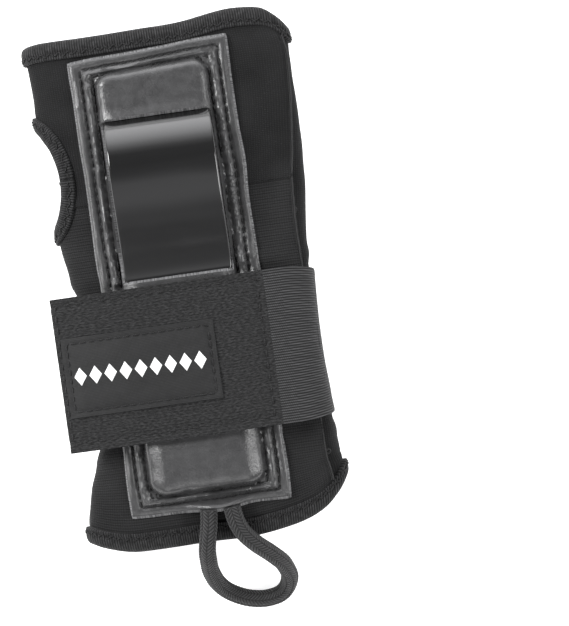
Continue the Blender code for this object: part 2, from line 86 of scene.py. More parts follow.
SEAM_X = ((-86, 37.5), (-40, 36), (0, 37), (10, 37), (30, 38), (40, 39.4), (50, 40.4), (60, 41.4),
          (72, 41.8), (86, 40))  # the palm panel's lapped edge
SEAM_SHARE = 0.92
PALM_SPLIT = 31.0
THUMB_HOLE_Y = 41.0
THUMB_HALF_LENGTH = 18.5
THUMB_HALF_REACH = 11.4
POCKET_X = -3.0
PLATE_BASE = 29.8
PLATE = 2.4
STRAP_POWER = 4.6
STRAP_FLAT = 0.992
STRAP_LOW = 1.4
STRAP_HIGH = 35.9
STRAP_TOP = 1.5
STRAP_BOTTOM = -50.0
ELASTIC = 1.4
FREE_END = -46.5
STRAP_Y = -25.0  # where lengths round the strap are taken
HINGE_X = 30.0
FLAT = 100.0  # flat millimetres to one share, on the strap's sewn run
BRAID_PITCH = 1.2
TAPE_RIB = 0.85  # pitch of the binding's ribs, a whole number of them to a ring


def smooth(t):
    t = np.clip(t, 0, 1)
    return t * t * (3 - 2 * t)


def bell(t):
    return np.exp(-(t**2))


def inset(u, v, x0, x1, y0, y1):
    """How far inside a rectangle a flat point lies."""
    return np.minimum(np.minimum(u - x0, x1 - u), np.minimum(v - y0, y1 - v))


def spaced(start, end, step):
    return list(np.linspace(start, end, max(2, round(abs(end - start) / step) + 1)))


def arc(points):
    """How far along a polyline each of its points is."""
    return np.concatenate([[0], np.cumsum(np.linalg.norm(np.diff(points, axis=0), axis=1))])


def run_length(points):
    return float(arc(points)[-1])


def curve_through(points):
    """A smooth curve through (position, value) points, with no overshoot."""
    xs, vs = (np.array(c, float) for c in zip(*points))
    rises = np.diff(vs) / np.diff(xs)
    inner = [2 * r * q / (r + q) if r * q > 0 else 0.0 for r, q in zip(rises, rises[1:])]
    slopes = np.array([rises[0], *inner, rises[-1]])

    def at(x):
        x = np.clip(x, xs[0], xs[-1])
        i = np.clip(np.searchsorted(xs, x) - 1, 0, len(xs) - 2)
        h = xs[i + 1] - xs[i]
        t = (x - xs[i]) / h
        return (vs[i] * (1 + 2 * t) * (1 - t) ** 2 + h * slopes[i] * t * (1 - t) ** 2
                + vs[i + 1] * t * t * (3 - 2 * t) + h * slopes[i + 1] * t * t * (t - 1))

    return at


def noise(x, y, seed=0.0):
    """Smooth value noise from -1 to 1, one cell to a unit."""
    x, y = np.asarray(x, float), np.asarray(y, float)
    i, j = np.floor(x), np.floor(y)
    fx, fy = smooth(x - i), smooth(y - j)

    def corner(a, b):
        v = np.sin((i + a) * 127.1 + (j + b) * 311.7 + seed * 74.7) * 43758.5453
        return 2 * (v - np.floor(v)) - 1

    low = corner(0, 0) * (1 - fx) + corner(1, 0) * fx
    high = corner(0, 1) * (1 - fx) + corner(1, 1) * fx
    return low * (1 - fy) + high * fy


class Skin:
    """A flattened tube along Y, tabled. Share runs 0 to 1 over the palm from the thumb edge, and
    1 to 2 back under it."""

    def __init__(self, thumb, little, low, high, power, flat=1.0, out=0.0):
        self.ys = np.arange(-97.0, 97.1, 1.0)
        self.count = 400
        edges = [f(self.ys) for f in (thumb, little, low, high)]
        self.centre = np.stack([(edges[0] + edges[1]) / 2, (edges[2] + edges[3]) / 2], 1)
        self.half = np.stack([(edges[1] - edges[0]) / 2 + out, (edges[3] - edges[2]) / 2], 1)
        t = np.linspace(math.pi, 0, 1441)
        c, s = np.cos(t), np.sin(t).clip(0)
        rows = []
        for (a, b), (cx, cz) in zip(self.half, self.centre):
            x = a * np.sign(c) * np.abs(c) ** (2 / power)
            z = np.minimum(b / flat * s ** (2 / power), b)
            run = np.concatenate([[0], np.cumsum(np.hypot(np.diff(x), np.diff(z)))])
            share = np.linspace(0, 1, self.count + 1)
            xs, zs = np.interp(share * run[-1], run, x), np.interp(share * run[-1], run, z)
            nx = np.sign(xs) * (np.abs(xs) / a) ** (power - 1) / a
            nz = (zs / b) ** (power - 1) / b
            n = np.hypot(nx, nz)
            up = np.stack([cx + xs, cz + zs, nx / n, nz / n], 1)
            down = np.stack([cx + xs, cz - zs, nx / n, -nz / n], 1)
            rows.append(np.concatenate([up, down[-2::-1]]))
        self.table = np.array(rows)

    def look_up(self, share, y):
        share, y = np.broadcast_arrays(np.asarray(share, float) % 2, np.asarray(y, float))
        i = np.clip(np.searchsorted(self.ys, y) - 1, 0, len(self.ys) - 2)
        fy = (y - self.ys[i])[..., None]
        j = np.clip((share * self.count).astype(int), 0, 2 * self.count - 1)
        fs = (share * self.count - j)[..., None]
        t = self.table
        return ((t[i, j] * (1 - fs) + t[i, j + 1] * fs) * (1 - fy)
                + (t[i + 1, j] * (1 - fs) + t[i + 1, j + 1] * fs) * fy)

    def __call__(self, share, y, d):
        got = self.look_up(share, y)
        d = np.asarray(d, float)
        return np.stack([got[..., 0] + d * got[..., 2], np.broadcast_to(y, got.shape[:-1]),
                         got[..., 1] + d * got[..., 3]], -1)

    def share_at(self, x, y):
        """The share on the palm side at this x."""
        x, y = np.broadcast_arrays(np.asarray(x, float), np.asarray(y, float))
        low, high = np.zeros(x.shape), np.ones(x.shape)
        for _ in range(30):
            mid = (low + high) / 2
            less = self.look_up(mid, y)[..., 0] < x
            low, high = np.where(less, mid, low), np.where(less, high, mid)
        return (low + high) / 2


thumb_edge, little_edge = curve_through(THUMB_EDGE), curve_through(LITTLE_EDGE)
palm_level, back_level = curve_through(PALM_LEVEL), curve_through(BACK_LEVEL)
SLEEVE = Skin(thumb_edge, little_edge, back_level, palm_level, SECTION_POWER)
STRAP = Skin(thumb_edge, little_edge, lambda y: 0 * y + STRAP_LOW, lambda y: 0 * y + STRAP_HIGH,
             STRAP_POWER, STRAP_FLAT, GAP)


def rim_shift(share, y):
    """How far the sleeve's cut ends stand off their nominal lines."""
    a = (little_edge(y) - thumb_edge(y)) / 2
    u = (SLEEVE.look_up(share, y)[..., 0] - (little_edge(y) + thumb_edge(y)) / 2) / a

    def past(start):
        """0 up to start, on the way to either side, and 1 at the edge."""
        return np.maximum(0, (u * np.sign(start) - abs(start)) / (1 - abs(start)))

    hand = HAND_RISE * bell((u - 0.62) / 0.35)
    hand = hand - HAND_CORNER * past(0.8) ** 2 - HAND_THUMB_DROP * past(-0.85) ** 2
    forearm = FOREARM_SWEEP * past(0.15) ** 1.6 + FOREARM_ROUND * past(0.15) ** 6
    forearm = forearm + FOREARM_CORNER * past(-0.6) ** 2
    return hand * smooth((y - 62) / 22) + forearm * smooth((-y - 58) / 24)


def on_sleeve(share, y, d):
    share, y, d = np.broadcast_arrays(share, np.asarray(y, float), np.asarray(d, float))
    return SLEEVE(share, y + rim_shift(share, y), d)


def on_palm(x, y, d):
    return SLEEVE(SLEEVE.share_at(x, y), y, d)


def on_back(x, y, d):
    return SLEEVE(2 - SLEEVE.share_at(x, y), y, d)


def world(p):
    return (np.asarray(p, float) - ORIGIN) * MM


# ---- materials


BANDS = 0.31416  # a wave texture's scale for one band to a unit
BLUISH = 1.02


def rgba(shade):
    """A grey, faintly blue, or a colour as it is."""
    return (*shade, 1) if isinstance(shade, tuple) else (shade, shade, shade * BLUISH, 1)


class Look:
    """A node material: it starts from the piece's flat layout in millimetres."""

    def __init__(self, name, shade, rough, sheen=0.0, coat=0.0, spec=0.5):
        self.made = bpy.data.materials.new(name)
        self.made.use_nodes = True
        self.tree = self.made.node_tree
        self.shader = self.tree.nodes["Principled BSDF"]
        self.give(self.shader, {
            "Base Color": rgba(shade), "Roughness": rough, "Sheen Weight": sheen,
            "Sheen Roughness": 0.6, "Coat Weight": coat, "Coat Roughness": 0.12,
            "Specular IOR Level": spec})
        self.flat = self.node("UVMap", {}, uv_map="flat").outputs["UV"]
        self.height = None

    def give(self, node, inputs):
        """Each input is a value, or the output to link to it."""
        for key, value in inputs.items():
            if isinstance(value, bpy.types.NodeSocket):
                self.tree.links.new(value, node.inputs[key])
            else:
                node.inputs[key].default_value = value

    def node(self, kind, inputs, **settings):
        made = self.tree.nodes.new("ShaderNode" + kind)
        for key, value in settings.items():
            setattr(made, key, value)
        self.give(made, inputs)
        return made

    def at(self, scale, turn=0.0):
        return self.node("Mapping", {"Scale": (*scale, 1), "Rotation": (0, 0, turn),
                                     "Vector": self.flat}).outputs["Vector"]

    def noise(self, scale, detail=3.0, where=None):
        return self.node("TexNoise", {"Scale": scale, "Detail": detail,
                                      "Vector": where or self.flat}).outputs["Fac"]

    def wave(self, pitch, direction, distort, where=None):
        return self.node("TexWave", {
            "Scale": BANDS / pitch, "Distortion": distort, "Detail Scale": 1.0,
            "Vector": where or self.flat}, bands_direction=direction).outputs["Fac"]

    def cells(self, scale):
        return self.node("TexVoronoi", {"Scale": scale, "Vector": self.flat},
                         feature="DISTANCE_TO_EDGE").outputs["Distance"]

    def maths(self, operation, a, b=0.0):
        return self.node("Math", {0: a, 1: b}, operation=operation).outputs[0]

    def times(self, a, b):
        return self.maths("MULTIPLY", a, b)

    def plus(self, a, b):
        return self.maths("ADD", a, b)

    def span(self, value, low, high, to_low=0.0, to_high=1.0):
        return self.node("MapRange", {
            "Value": value, "From Min": low, "From Max": high, "To Min": to_low,
            "To Max": to_high}, clamp=True).outputs["Result"]

    def tint(self, value, dark, light):
        mix = self.node("Mix", {"A": rgba(dark), "B": rgba(light), "Factor": value},
                        data_type="RGBA")
        self.give(self.shader, {"Base Color": mix.outputs["Result"]})

    def rough(self, value, low, high):
        self.give(self.shader, {"Roughness": self.span(value, 0, 1, low, high)})

    def bump(self, value, millimetres, strength=1.0):
        under = {"Normal": self.height} if self.height else {}
        self.height = self.node("Bump", {"Distance": millimetres * MM, "Strength": strength,
                                         "Height": value, **under}).outputs["Normal"]
        self.give(self.shader, {"Normal": self.height})
        return self


def jersey(name, ribs):
    """Knitted facing of the neoprene: fine wales, pale flecks of nap, ribbed where asked."""
    look = Look(name, 0.012, 0.9, sheen=0.03, spec=0.12)
    knit = look.times(look.wave(0.75, "X", 1.2), look.wave(0.62, "Y", 0.8))
    fleck = look.span(look.noise(1.9, 5), 0.62, 0.8)
    shade = look.plus(look.times(knit, 0.25), look.times(look.noise(0.07), 0.35))
    shade = look.plus(shade, look.times(fleck, 0.6))
    if ribs:
        rib = look.wave(0.95, "Y", 0.5)
        shade = look.plus(shade, look.times(rib, 0.22))
        look.bump(rib, 0.09)
    look.tint(look.span(shade, 0.1, 1.3), 0.005, 0.055)
    look.bump(knit, 0.1).bump(look.noise(0.9, 4), 0.12)
    return look.made


def binding_tape():
    look = Look("binding_tape", 0.01, 0.85, sheen=0.04, spec=0.15)
    rib = look.wave(TAPE_RIB, "X", 0.4)
    look.tint(look.times(rib, look.span(look.noise(0.6, 4), 0.2, 0.8)), 0.004, 0.058)
    look.bump(rib, 0.14).bump(look.noise(2.2), 0.06)
    return look.made


def vinyl():
    """Grained vinyl: small pebbles, fine creases, duller where it is handled."""
    look = Look("pocket_vinyl", 0.04, 0.4, spec=0.6)
    pebble = look.cells(1.9)
    crease = look.span(look.noise(0.3, 6), 0.35, 0.65)
    look.tint(look.times(look.span(pebble, 0, 0.25, 0.6, 1), look.span(crease, 0, 1, 0.55, 1)),
              0.014, 0.056)
    look.rough(look.noise(0.12, 4), 0.2, 0.38)
    look.bump(look.span(pebble, 0, 0.3), 0.03).bump(look.noise(0.16, 2), 0.4, 0.6)
    return look.made


def raw_edge():
    # Pale speckled cut edge: partly the cut foam and backing's own paler specks, partly a painted
    # highlight where cut edges catch the light.
    look = Look("raw_foam_edge", 0.1, 0.95)
    speck = look.noise(2.4, 4)
    look.tint(look.span(speck, 0.3, 0.65), 0.025, 0.22)
    look.bump(speck, 0.25)
    return look.made


def foam():
    look = Look("closed_cell_foam", 0.03, 0.95)
    look.tint(look.noise(2.0, 4), 0.012, 0.045)
    look.bump(look.cells(2.2), 0.12)
    return look.made


def gloss():
    """Moulded plastic, faintly smeared and scratched."""
    look = Look("gloss_plate", 0.008, 0.12, coat=0.3, spec=0.6)
    scratch = look.span(look.noise(0.8, 2, look.at((0.12, 3.0), 0.12)), 0.7, 0.78)
    look.rough(look.plus(look.times(look.noise(0.05, 4), 0.5), look.times(scratch, 0.15)),
               0.08, 0.2)
    look.tint(scratch, 0.007, 0.012)
    look.bump(look.noise(0.035, 1), 0.35).bump(look.noise(0.09, 1, look.at((0.1, 1))), 0.3)
    return look.made


def elastic(name, pitch=0.85, twill=0.0, light=0.05):
    """Ribbed elastic webbing; broken slanting picks show where tape is sewn behind it."""
    look = Look(name, 0.014, 0.85, sheen=0.04, spec=0.15)
    pick = look.wave(0.6, "X", 1.0, look.at((1, 1), 0.35))
    weave = look.times(look.wave(pitch, "Y", 0.5), look.span(pick, 0, 1, 0.6, 1))
    if twill:
        dash = look.span(look.noise(1.5, 2, look.at((0.55, 1.7), 0.5)), 0.4, 0.64)
        weave = look.plus(look.times(weave, 1 - twill), look.times(dash, twill))
    look.tint(look.times(weave, look.span(look.noise(0.5, 4), 0.2, 0.85, 0.5, 1)), 0.006, light)
    look.bump(weave, 0.12).bump(look.noise(1.6), 0.1)
    return look.made


def label_cloth():
    look = Look("label_satin", 0.014, 0.6, sheen=0.04, spec=0.2)
    weave = look.times(look.wave(0.42, "X", 0.5), look.wave(0.5, "Y", 0.5))
    look.tint(look.times(weave, look.noise(0.4, 4)), 0.01, 0.04)
    look.bump(weave, 0.06).bump(look.noise(0.15, 4), 0.3)
    return look.made


def print_ink():
    look = Look("label_print", (0.82, 0.82, 0.82), 0.6)
    look.tint(look.noise(1.5), (0.7, 0.7, 0.7), (0.86, 0.86, 0.86))
    look.bump(look.noise(2.5, 2), 0.04)
    return look.made


def pile(name, dark, light, scale=1.5):
    look = Look(name, dark, 1.0, sheen=0.08, spec=0.1)
    curl = look.noise(scale, 5)
    look.tint(look.span(curl, 0.35, 0.72), dark, light)
    look.bump(curl, 0.6).bump(look.cells(scale * 1.2), 0.25)
    return look.made


def thread():
    look = Look("thread", 0.007, 0.65, sheen=0.03, spec=0.3)
    ply = look.wave(0.5, "X", 0.2, look.at((1, 1), 0.6))
    look.tint(ply, 0.0035, 0.0154)
    look.bump(ply, 0.08)
    return look.made


def cord_braid():
    """Strands lean one way, then the other, from one lengthwise rib to the next."""
    look = Look("cord_braid", 0.012, 0.7, sheen=0.05, spec=0.3)
    split = look.node("SeparateXYZ", {0: look.flat})
    rib = 2 * math.pi * 2.9 / 8
    zigzag = look.maths("PINGPONG", split.outputs["Y"], rib)
    along = look.plus(split.outputs["X"], look.times(zigzag, 0.9))
    strand = look.span(look.maths("SINE", look.times(along, 2 * math.pi / BRAID_PITCH)), -1, 1)
    ridge = look.maths("ABSOLUTE", look.maths("SINE", look.times(split.outputs["Y"],
                                                                 math.pi / rib)))
    braid = look.times(strand, look.span(ridge, 0, 0.5, 0.1, 1))
    look.tint(look.times(braid, look.span(look.noise(1.2), 0.2, 0.8, 0.6, 1)), 0.004, 0.058)
    look.bump(braid, 0.3)
    return look.made


def pale_floor():
    """White paper, lit through from below so that it shows next to no shadow."""
    look = Look("pale_floor", (0.86, 0.86, 0.86), 0.75)
    look.give(look.shader, {"Emission Color": (1, 1, 1, 1), "Emission Strength": 0.75})
    return look.made


LOOKS = {
    "jersey": jersey("jersey", False), "ribbed": jersey("ribbed_jersey", True),
    "binding": binding_tape(), "vinyl": vinyl(), "edge": raw_edge(), "foam": foam(),
    # The plain webbing's lighter end (0.085) is partly its own paler weave and partly painted light
    # on the strap's right-hand end; the taped part's darker end (0.042) is partly painted shade.
    "gloss": gloss(), "elastic": elastic("elastic_webbing", light=0.085),
    "hooked": elastic("elastic_over_tape", 1.0, 0.7, 0.042), "label": label_cloth(),
    "ink": print_ink(), "velour": pile("velour_pile", 0.006, 0.035),
    "loops": pile("loop_pile", 0.012, 0.1, 1.1), "thread": thread(), "cord": cord_braid(),
    "selvedge": elastic("tape_selvedge", 0.8),
}


# ---- meshes


def add_mesh(name, points, faces, flats, looks, body, indices=None, sharp=50.0):
    """A piece from millimetre points, faces and each point's place in the flat layout."""
    mesh = bpy.data.meshes.new(name)
    mesh.from_pydata(world(points).tolist(), [], [list(map(int, f)) for f in faces])
    layer = mesh.uv_layers.new(name="flat")
    corners = np.empty(len(mesh.loops), int)
    mesh.loops.foreach_get("vertex_index", corners)
    layer.data.foreach_set("uv", np.asarray(flats, float)[corners].ravel())
    for look in looks:
        mesh.materials.append(LOOKS[look])
    if indices is not None:
        mesh.polygons.foreach_set("material_index", np.asarray(indices, int))
    mesh.polygons.foreach_set("use_smooth", [True] * len(mesh.polygons))
    bm = bmesh.new()
    bm.from_mesh(mesh)
    bmesh.ops.recalc_face_normals(bm, faces=bm.faces)
    bm.to_mesh(mesh)
    bm.free()
    mesh.set_sharp_from_angle(angle=math.radians(sharp))
    obj = bpy.data.objects.new(name, mesh)
    bpy.context.scene.collection.objects.link(obj)
    if body:
        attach(obj, body)
    return obj


def slab(name, us, vs, top, bottom, looks, body="guard", keep=None, flare=0.0):
    """A closed sheet over the lines us and vs. Its cut edges take the second look, and its
    underside spreads by flare beyond them."""
    nu, nv = len(us), len(vs)
    u, v = np.meshgrid(us, vs, indexing="ij")
    kept = np.ones((nu - 1, nv - 1), bool)
    if keep:
        kept = keep((u[:-1, :-1] + u[1:, 1:]) / 2, (v[:-1, :-1] + v[1:, 1:]) / 2)
    near = np.zeros((nu + 1, nv + 1))
    near[1:-1, 1:-1] = kept
    du = near[1:, :-1] + near[1:, 1:] - near[:-1, :-1] - near[:-1, 1:]
    dv = near[:-1, 1:] + near[1:, 1:] - near[:-1, :-1] - near[1:, :-1]
    n = np.hypot(du, dv)
    n[n == 0] = 1
    upper = top(u, v).reshape(-1, 3)
    lower = bottom(u - flare * du / n, v - flare * dv / n).reshape(-1, 3)
    flats = np.stack([u.ravel(), v.ravel()], 1)
    index = np.arange(nu * nv).reshape(nu, nv)
    a, b, c, d = (index[:-1, :-1][kept], index[1:, :-1][kept], index[1:, 1:][kept],
                  index[:-1, 1:][kept])
    total = nu * nv
    faces = [np.stack([a, b, c, d], 1), np.stack([d, c, b, a], 1) + total]
    for da, db, (i0, j0), (i1, j1) in ((-1, 0, (0, 1), (0, 0)), (1, 0, (1, 0), (1, 1)),
                                       (0, -1, (0, 0), (1, 0)), (0, 1, (1, 1), (0, 1))):
        gone = near[1 + da:nu + da, 1 + db:nv + db] == 0
        open_side = kept & gone
        ii, jj = np.nonzero(open_side)
        p, q = index[ii + i0, jj + j0], index[ii + i1, jj + j1]
        faces.append(np.stack([q, p, p + total, q + total], 1))
    sides = sum(len(f) for f in faces[2:])
    indices = [0] * (2 * len(a)) + [min(1, len(looks) - 1)] * sides
    faces = np.concatenate(faces)
    used, where = np.unique(faces, return_inverse=True)
    points = np.concatenate([upper, lower])[used]
    return add_mesh(name, points, where.reshape(-1, 4), np.concatenate([flats, flats])[used],
                    looks, body, indices)


def tube_faces(index, closed=False):
    """Quads between each row of point numbers and the next, and a cap on each open end."""
    if closed:
        index = np.concatenate([index, index[:1]])
    a, b = index[:-1], index[1:]
    faces = np.stack([a, b, np.roll(b, -1, 1), np.roll(a, -1, 1)], -1).reshape(-1, 4).tolist()
    return faces if closed else faces + [index[0].tolist(), index[-1][::-1].tolist()]


def ring(name, turns, profile, place):
    """A closed ring of binding: place(turn, w, d) of a closed profile of (w, d)."""
    profile = np.array(profile, float)
    sides = len(profile)
    t = np.arange(turns)[:, None] / turns
    points = place(np.repeat(t, sides, 1), profile[None, :, 0].repeat(turns, 0),
                   profile[None, :, 1].repeat(turns, 0)).reshape(-1, 3)
    faces = tube_faces(np.arange(turns * sides).reshape(turns, sides), closed=True)
    loop = points.reshape(turns, sides, 3)[:, 0]
    length = np.linalg.norm(np.roll(loop, -1, 0) - loop, axis=1).sum()
    along = t * round(length / TAPE_RIB) * TAPE_RIB
    flats = np.stack(np.broadcast_arrays(along, arc(profile)[None]), -1)
    return add_mesh(name, points, faces, flats.reshape(-1, 2), ["binding"], "guard")


def sweep(points, radius, sides, closed=False):
    """Vertices, faces and flats of a round tube along points."""
    points = np.asarray(points, float)
    count = len(points)
    ahead = np.roll(points, -1, 0) - np.roll(points, 1, 0)
    if not closed:
        ahead[0], ahead[-1] = points[1] - points[0], points[-1] - points[-2]
    ahead /= np.linalg.norm(ahead, axis=1)[:, None]
    side = np.cross(ahead[0], (0.0, 0.0, 1.0))
    if np.linalg.norm(side) < 0.1:
        side = np.cross(ahead[0], (1.0, 0.0, 0.0))
    frames = []
    for way in ahead:
        side = side - way * side.dot(way)
        side /= np.linalg.norm(side)
        frames.append((side, np.cross(way, side)))
    angle = np.arange(sides) * 2 * math.pi / sides
    radius = np.broadcast_to(np.asarray(radius, float), (count, sides))
    rings = np.array([p + r[:, None] * (np.cos(angle)[:, None] * s + np.sin(angle)[:, None] * b)
                      for p, r, (s, b) in zip(points, radius, frames)])
    faces = tube_faces(np.arange(count * sides).reshape(count, sides), closed)
    flats = np.stack(np.broadcast_arrays(arc(points)[:, None], angle[None] * radius.mean()), -1)
    return rings.reshape(-1, 3), faces, flats.reshape(-1, 2)


def gathered(name, parts, body="guard"):
    """One piece of thread from several swept tubes."""
    points, faces, flats, start = [], [], [], 0
    for p, f, uv in parts:
        points.append(p)
        flats.append(uv)
        faces += [[i + start for i in face] for face in f]
        start += len(p)
    return add_mesh(name, np.concatenate(points), faces, np.concatenate(flats), ["thread"], body,
                    sharp=180)


def by_length(path, step):
    """Flat path points at even steps along a polyline."""
    path = np.array(path, float)
    run = arc(path)
    at = np.arange(0, run[-1], step)
    return np.stack([np.interp(at, run, column) for column in path.T], 1)


def stitches(name, path, place, lift, body="guard", pitch=3.3, radius=0.33, bury=0.35, part=0.78):
    """A row of separate stitches along a flat path: each rises from the cloth and dives back."""
    step, spots_each = 0.1, 6
    fine = by_length(path, step)
    per = int(round(pitch / step))
    arch = np.sin(np.linspace(0, math.pi, spots_each)) ** 0.6
    d = lift - bury + (bury + radius * 0.7) * arch
    along = (np.linspace(0, part, spots_each) * per).astype(int)
    tubes = []
    for k in range(0, len(fine) - per, per):
        spots = fine[k + along]
        tubes.append(sweep(place(spots[:, 0], spots[:, 1], d), radius, 6))
    return gathered(name, tubes, body)


def rectangle(x0, x1, y0, y1, radius=0.8):
    """A closed path with round corners."""
    points = []
    for cx, cy, start in ((x1, y1, 0), (x0, y1, 90), (x0, y0, 180), (x1, y0, 270)):
        for turn in range(start, start + 91, 15):
            c, s = math.cos(math.radians(turn)), math.sin(math.radians(turn))
            sx, sy = (1 if cx == x1 else -1), (1 if cy == y1 else -1)
            points.append((cx - sx * radius + radius * c, cy - sy * radius + radius * s))
    return points + points[:1]


# ---- camera and light


def studio_sky(scene):
    """Dim overhead, brighter low at the finger end, with one soft band over the wrist end."""
    sky = bpy.data.worlds.new("studio")
    sky.use_nodes = True
    tree = sky.node_tree
    back = tree.nodes["Background"]
    split = tree.nodes.new("ShaderNodeSeparateXYZ")
    tree.links.new(tree.nodes.new("ShaderNodeTexCoord").outputs["Generated"], split.inputs[0])
    ramp = tree.nodes.new("ShaderNodeValToRGB")
    shift = tree.nodes.new("ShaderNodeMath")
    shift.operation = "MULTIPLY_ADD"
    shift.inputs[1].default_value = shift.inputs[2].default_value = 0.5
    tree.links.new(split.outputs["Y"], shift.inputs[0])
    tree.links.new(shift.outputs[0], ramp.inputs["Fac"])
    stops = ((0.0, 0.35), (0.22, 0.4), (0.32, 1.2), (0.4, 1.1), (0.45, 0.4), (0.52, 0.25),
             (0.7, 0.3), (0.77, 0.8), (0.86, 2.6), (1.0, 6.5))
    while len(ramp.color_ramp.elements) < len(stops):
        ramp.color_ramp.elements.new(0.5)
    for element, (place, value) in zip(ramp.color_ramp.elements, stops):
        element.position = place
        element.color = rgba(value)
    tree.links.new(ramp.outputs["Color"], back.inputs["Color"])
    back.inputs["Strength"].default_value = 0.7
    scene.world = sky


def place_in(scene, name, data, place):
    obj = bpy.data.objects.new(name, data)
    obj.location = place
    scene.collection.objects.link(obj)
    return obj


CAMERA_LEAN = 8.1  # degrees, so that the guard leans as in the photo
CAMERA_OFF = (31.5, -9.3)  # from the guard's middle to the picture's, right and up
CAMERA_HEIGHT = 1.6
LENS = 271.7


def camera(scene):
    """Straight down, from far off."""
    lean = math.radians(CAMERA_LEAN)
    right = np.array((math.cos(lean), -math.sin(lean), 0))
    up = np.array((math.sin(lean), math.cos(lean), 0))
    middle = world((0, 0, 0)) + (CAMERA_OFF[0] * right + CAMERA_OFF[1] * up) * MM
    data = bpy.data.cameras.new("camera")
    data.lens = LENS
    scene.camera = place_in(scene, "camera", data, (middle[0], middle[1], CAMERA_HEIGHT))
    scene.camera.rotation_euler = (0, 0, -lean)
    scene.view_settings.view_transform = "Standard"


def lamps(scene):
    aim = np.array((0.0, 0.0, 0.02))
    for name, place, size, power in (("key", (-1.0, 0.45, 0.95), (0.5, 0.5), 24.0),
                                     ("low", (-0.1, -1.0, 0.9), (0.7, 0.5), 4.0),
                                     ("fill", (1.0, -0.2, 0.8), (0.5, 0.7), 10.0)):
        lamp = bpy.data.lights.new(name, "AREA")
        lamp.shape = "RECTANGLE"
        lamp.size, lamp.size_y = size
        lamp.energy = power
        way = Vector(aim - np.array(place))
        place_in(scene, name, lamp, place).rotation_euler = way.to_track_quat("-Z", "Y").to_euler()


def floor(scene):
    data = bpy.data.meshes.new("floor")
    bm = bmesh.new()
    bmesh.ops.create_grid(bm, x_segments=1, y_segments=1, size=3.0)
    bm.to_mesh(data)
    bm.free()
    data.materials.append(pale_floor())
    place_in(scene, "floor", data, (0, 0, -0.0004))


for stand in (camera, lamps, studio_sky, floor):
    stand(bpy.context.scene)


# ---- pull loop

CORD_RADIUS = 3.0
CORD_ROUTE = ((-4.2, -74.8), (-4.9, -80), (-6.2, -85.5), (-6.9, -90), (-6.9, -94), (-6.0, -98.3),
              (-3.6, -102.3), (0.2, -105.3), (5, -107.4), (10, -108.2), (14.4, -107.6),
              (17.7, -105.2), (19.2, -101.3), (18, -97), (14.3, -92.6), (9.6, -88.2),
              (5.8, -83.5), (4.1, -79), (3.5, -74.8))
CORD_HEIGHT = ((-108.2, 3.1), (-104.5, 5.4), (-100, 11), (-95, 18), (-90, 24), (-86, 27.4),
               (-80, 29.6), (-74, 30.4))


def cord_line(step):
    high = curve_through(CORD_HEIGHT)
    route = np.array([(x, y, high(y)) for x, y in CORD_ROUTE])
    run = arc(route)
    at = np.linspace(0, run[-1], max(2, round(run[-1] / step)) + 1)
    return np.stack([curve_through(list(zip(run, column)))(at) for column in route.T], 1)


def pull_loop():
    """A round braid: its strands lean one way, then the other, between eight ribs along it."""
    line = cord_line(0.33)
    for _ in range(12):
        line[1:-1] = (line[:-2] + 2 * line[1:-1] + line[2:]) / 4
    sides = 64
    angle = np.arange(sides) * 2 * math.pi / sides
    a, s = np.broadcast_arrays(angle[None], arc(line)[:, None])
    lean = np.abs((a * 4 / math.pi) % 2 - 1)
    strand = 0.5 + 0.5 * np.sin(2 * math.pi / BRAID_PITCH * (s - 2.05 * lean))
    rib = np.abs(np.sin(a * 4)) ** 0.5
    radius = CORD_RADIUS * (0.95 + 0.05 * strand * rib) * (0.96 + 0.04 * rib)
    points, faces, flats = sweep(line, radius, sides)
    obj = add_mesh("pull_loop", points, faces, flats, ["cord"], "guard", sharp=180)
    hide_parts("pull_loop_cord")
    path = world(line[::6] if (len(line) - 1) % 6 == 0 else np.vstack([line[::6], line[-1:]]))
    round(run_length(path), 3)


pull_loop()


# ---- sleeve


def perimeter(y):
    t = SLEEVE.look_up(np.linspace(0, 1, 401), np.full(401, float(y)))
    return float(np.hypot(np.diff(t[:, 0]), np.diff(t[:, 1])).sum())


REACH = perimeter(THUMB_HOLE_Y)  # one share, in millimetres, at the thumb hole


def outside_thumb_hole(share, v):
    """Keeps cells outside the oval; its stepped edge lies inside the binding's fold."""
    x = np.minimum(share, 2 - share) * REACH
    return ((x / (THUMB_HALF_REACH + 0.4)) ** 2
            + ((v - THUMB_HOLE_Y) / (THUMB_HALF_LENGTH + 0.4)) ** 2) > 1


def soft(share, y, seed):
    """The cloth's slow unevenness, and its dips beside the taut strap."""
    bumps = 0.35 * noise(share * 5, y / 17, seed) + 0.16 * noise(share * 13, y / 7, seed + 1)
    edge = np.minimum(np.abs(y - STRAP_TOP), np.abs(y - STRAP_BOTTOM))
    return bumps + 0.5 * bell((edge - 3.5) / 3) * (1 + 0.5 * noise(share * 16, y / 6, 9))


def sleeve_panel(name, sharer, width, v0, v1, look, raised, nodes):
    """sharer(u, v) gives the share of a flat point, and raised(u, v) lifts the panel's laps."""
    def top(u, v):
        share = sharer(u, v)
        return on_sleeve(share, v, soft(share, v, 1.0) + raised(u, v))

    def bottom(u, v):
        share = sharer(u, v)
        return on_sleeve(share, v, soft(share, v, 1.0) * 0.5 - NEOPRENE)

    us = np.linspace(0, width, max(8, round(width / 1.05)))
    vs = np.linspace(v0, v1, max(8, round((v1 - v0) / 1.1)))
    # The cut edges take the pale edge look; along the lapped edge its paleness is partly a painted
    # highlight line.
    obj = slab(name, us, vs, top, bottom, [look, "edge"],
               keep=lambda u, v: outside_thumb_hole(sharer(u, v), v))
    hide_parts(*nodes)
    return obj


LAP = 1.8  # height of the palm panel's lapped edge


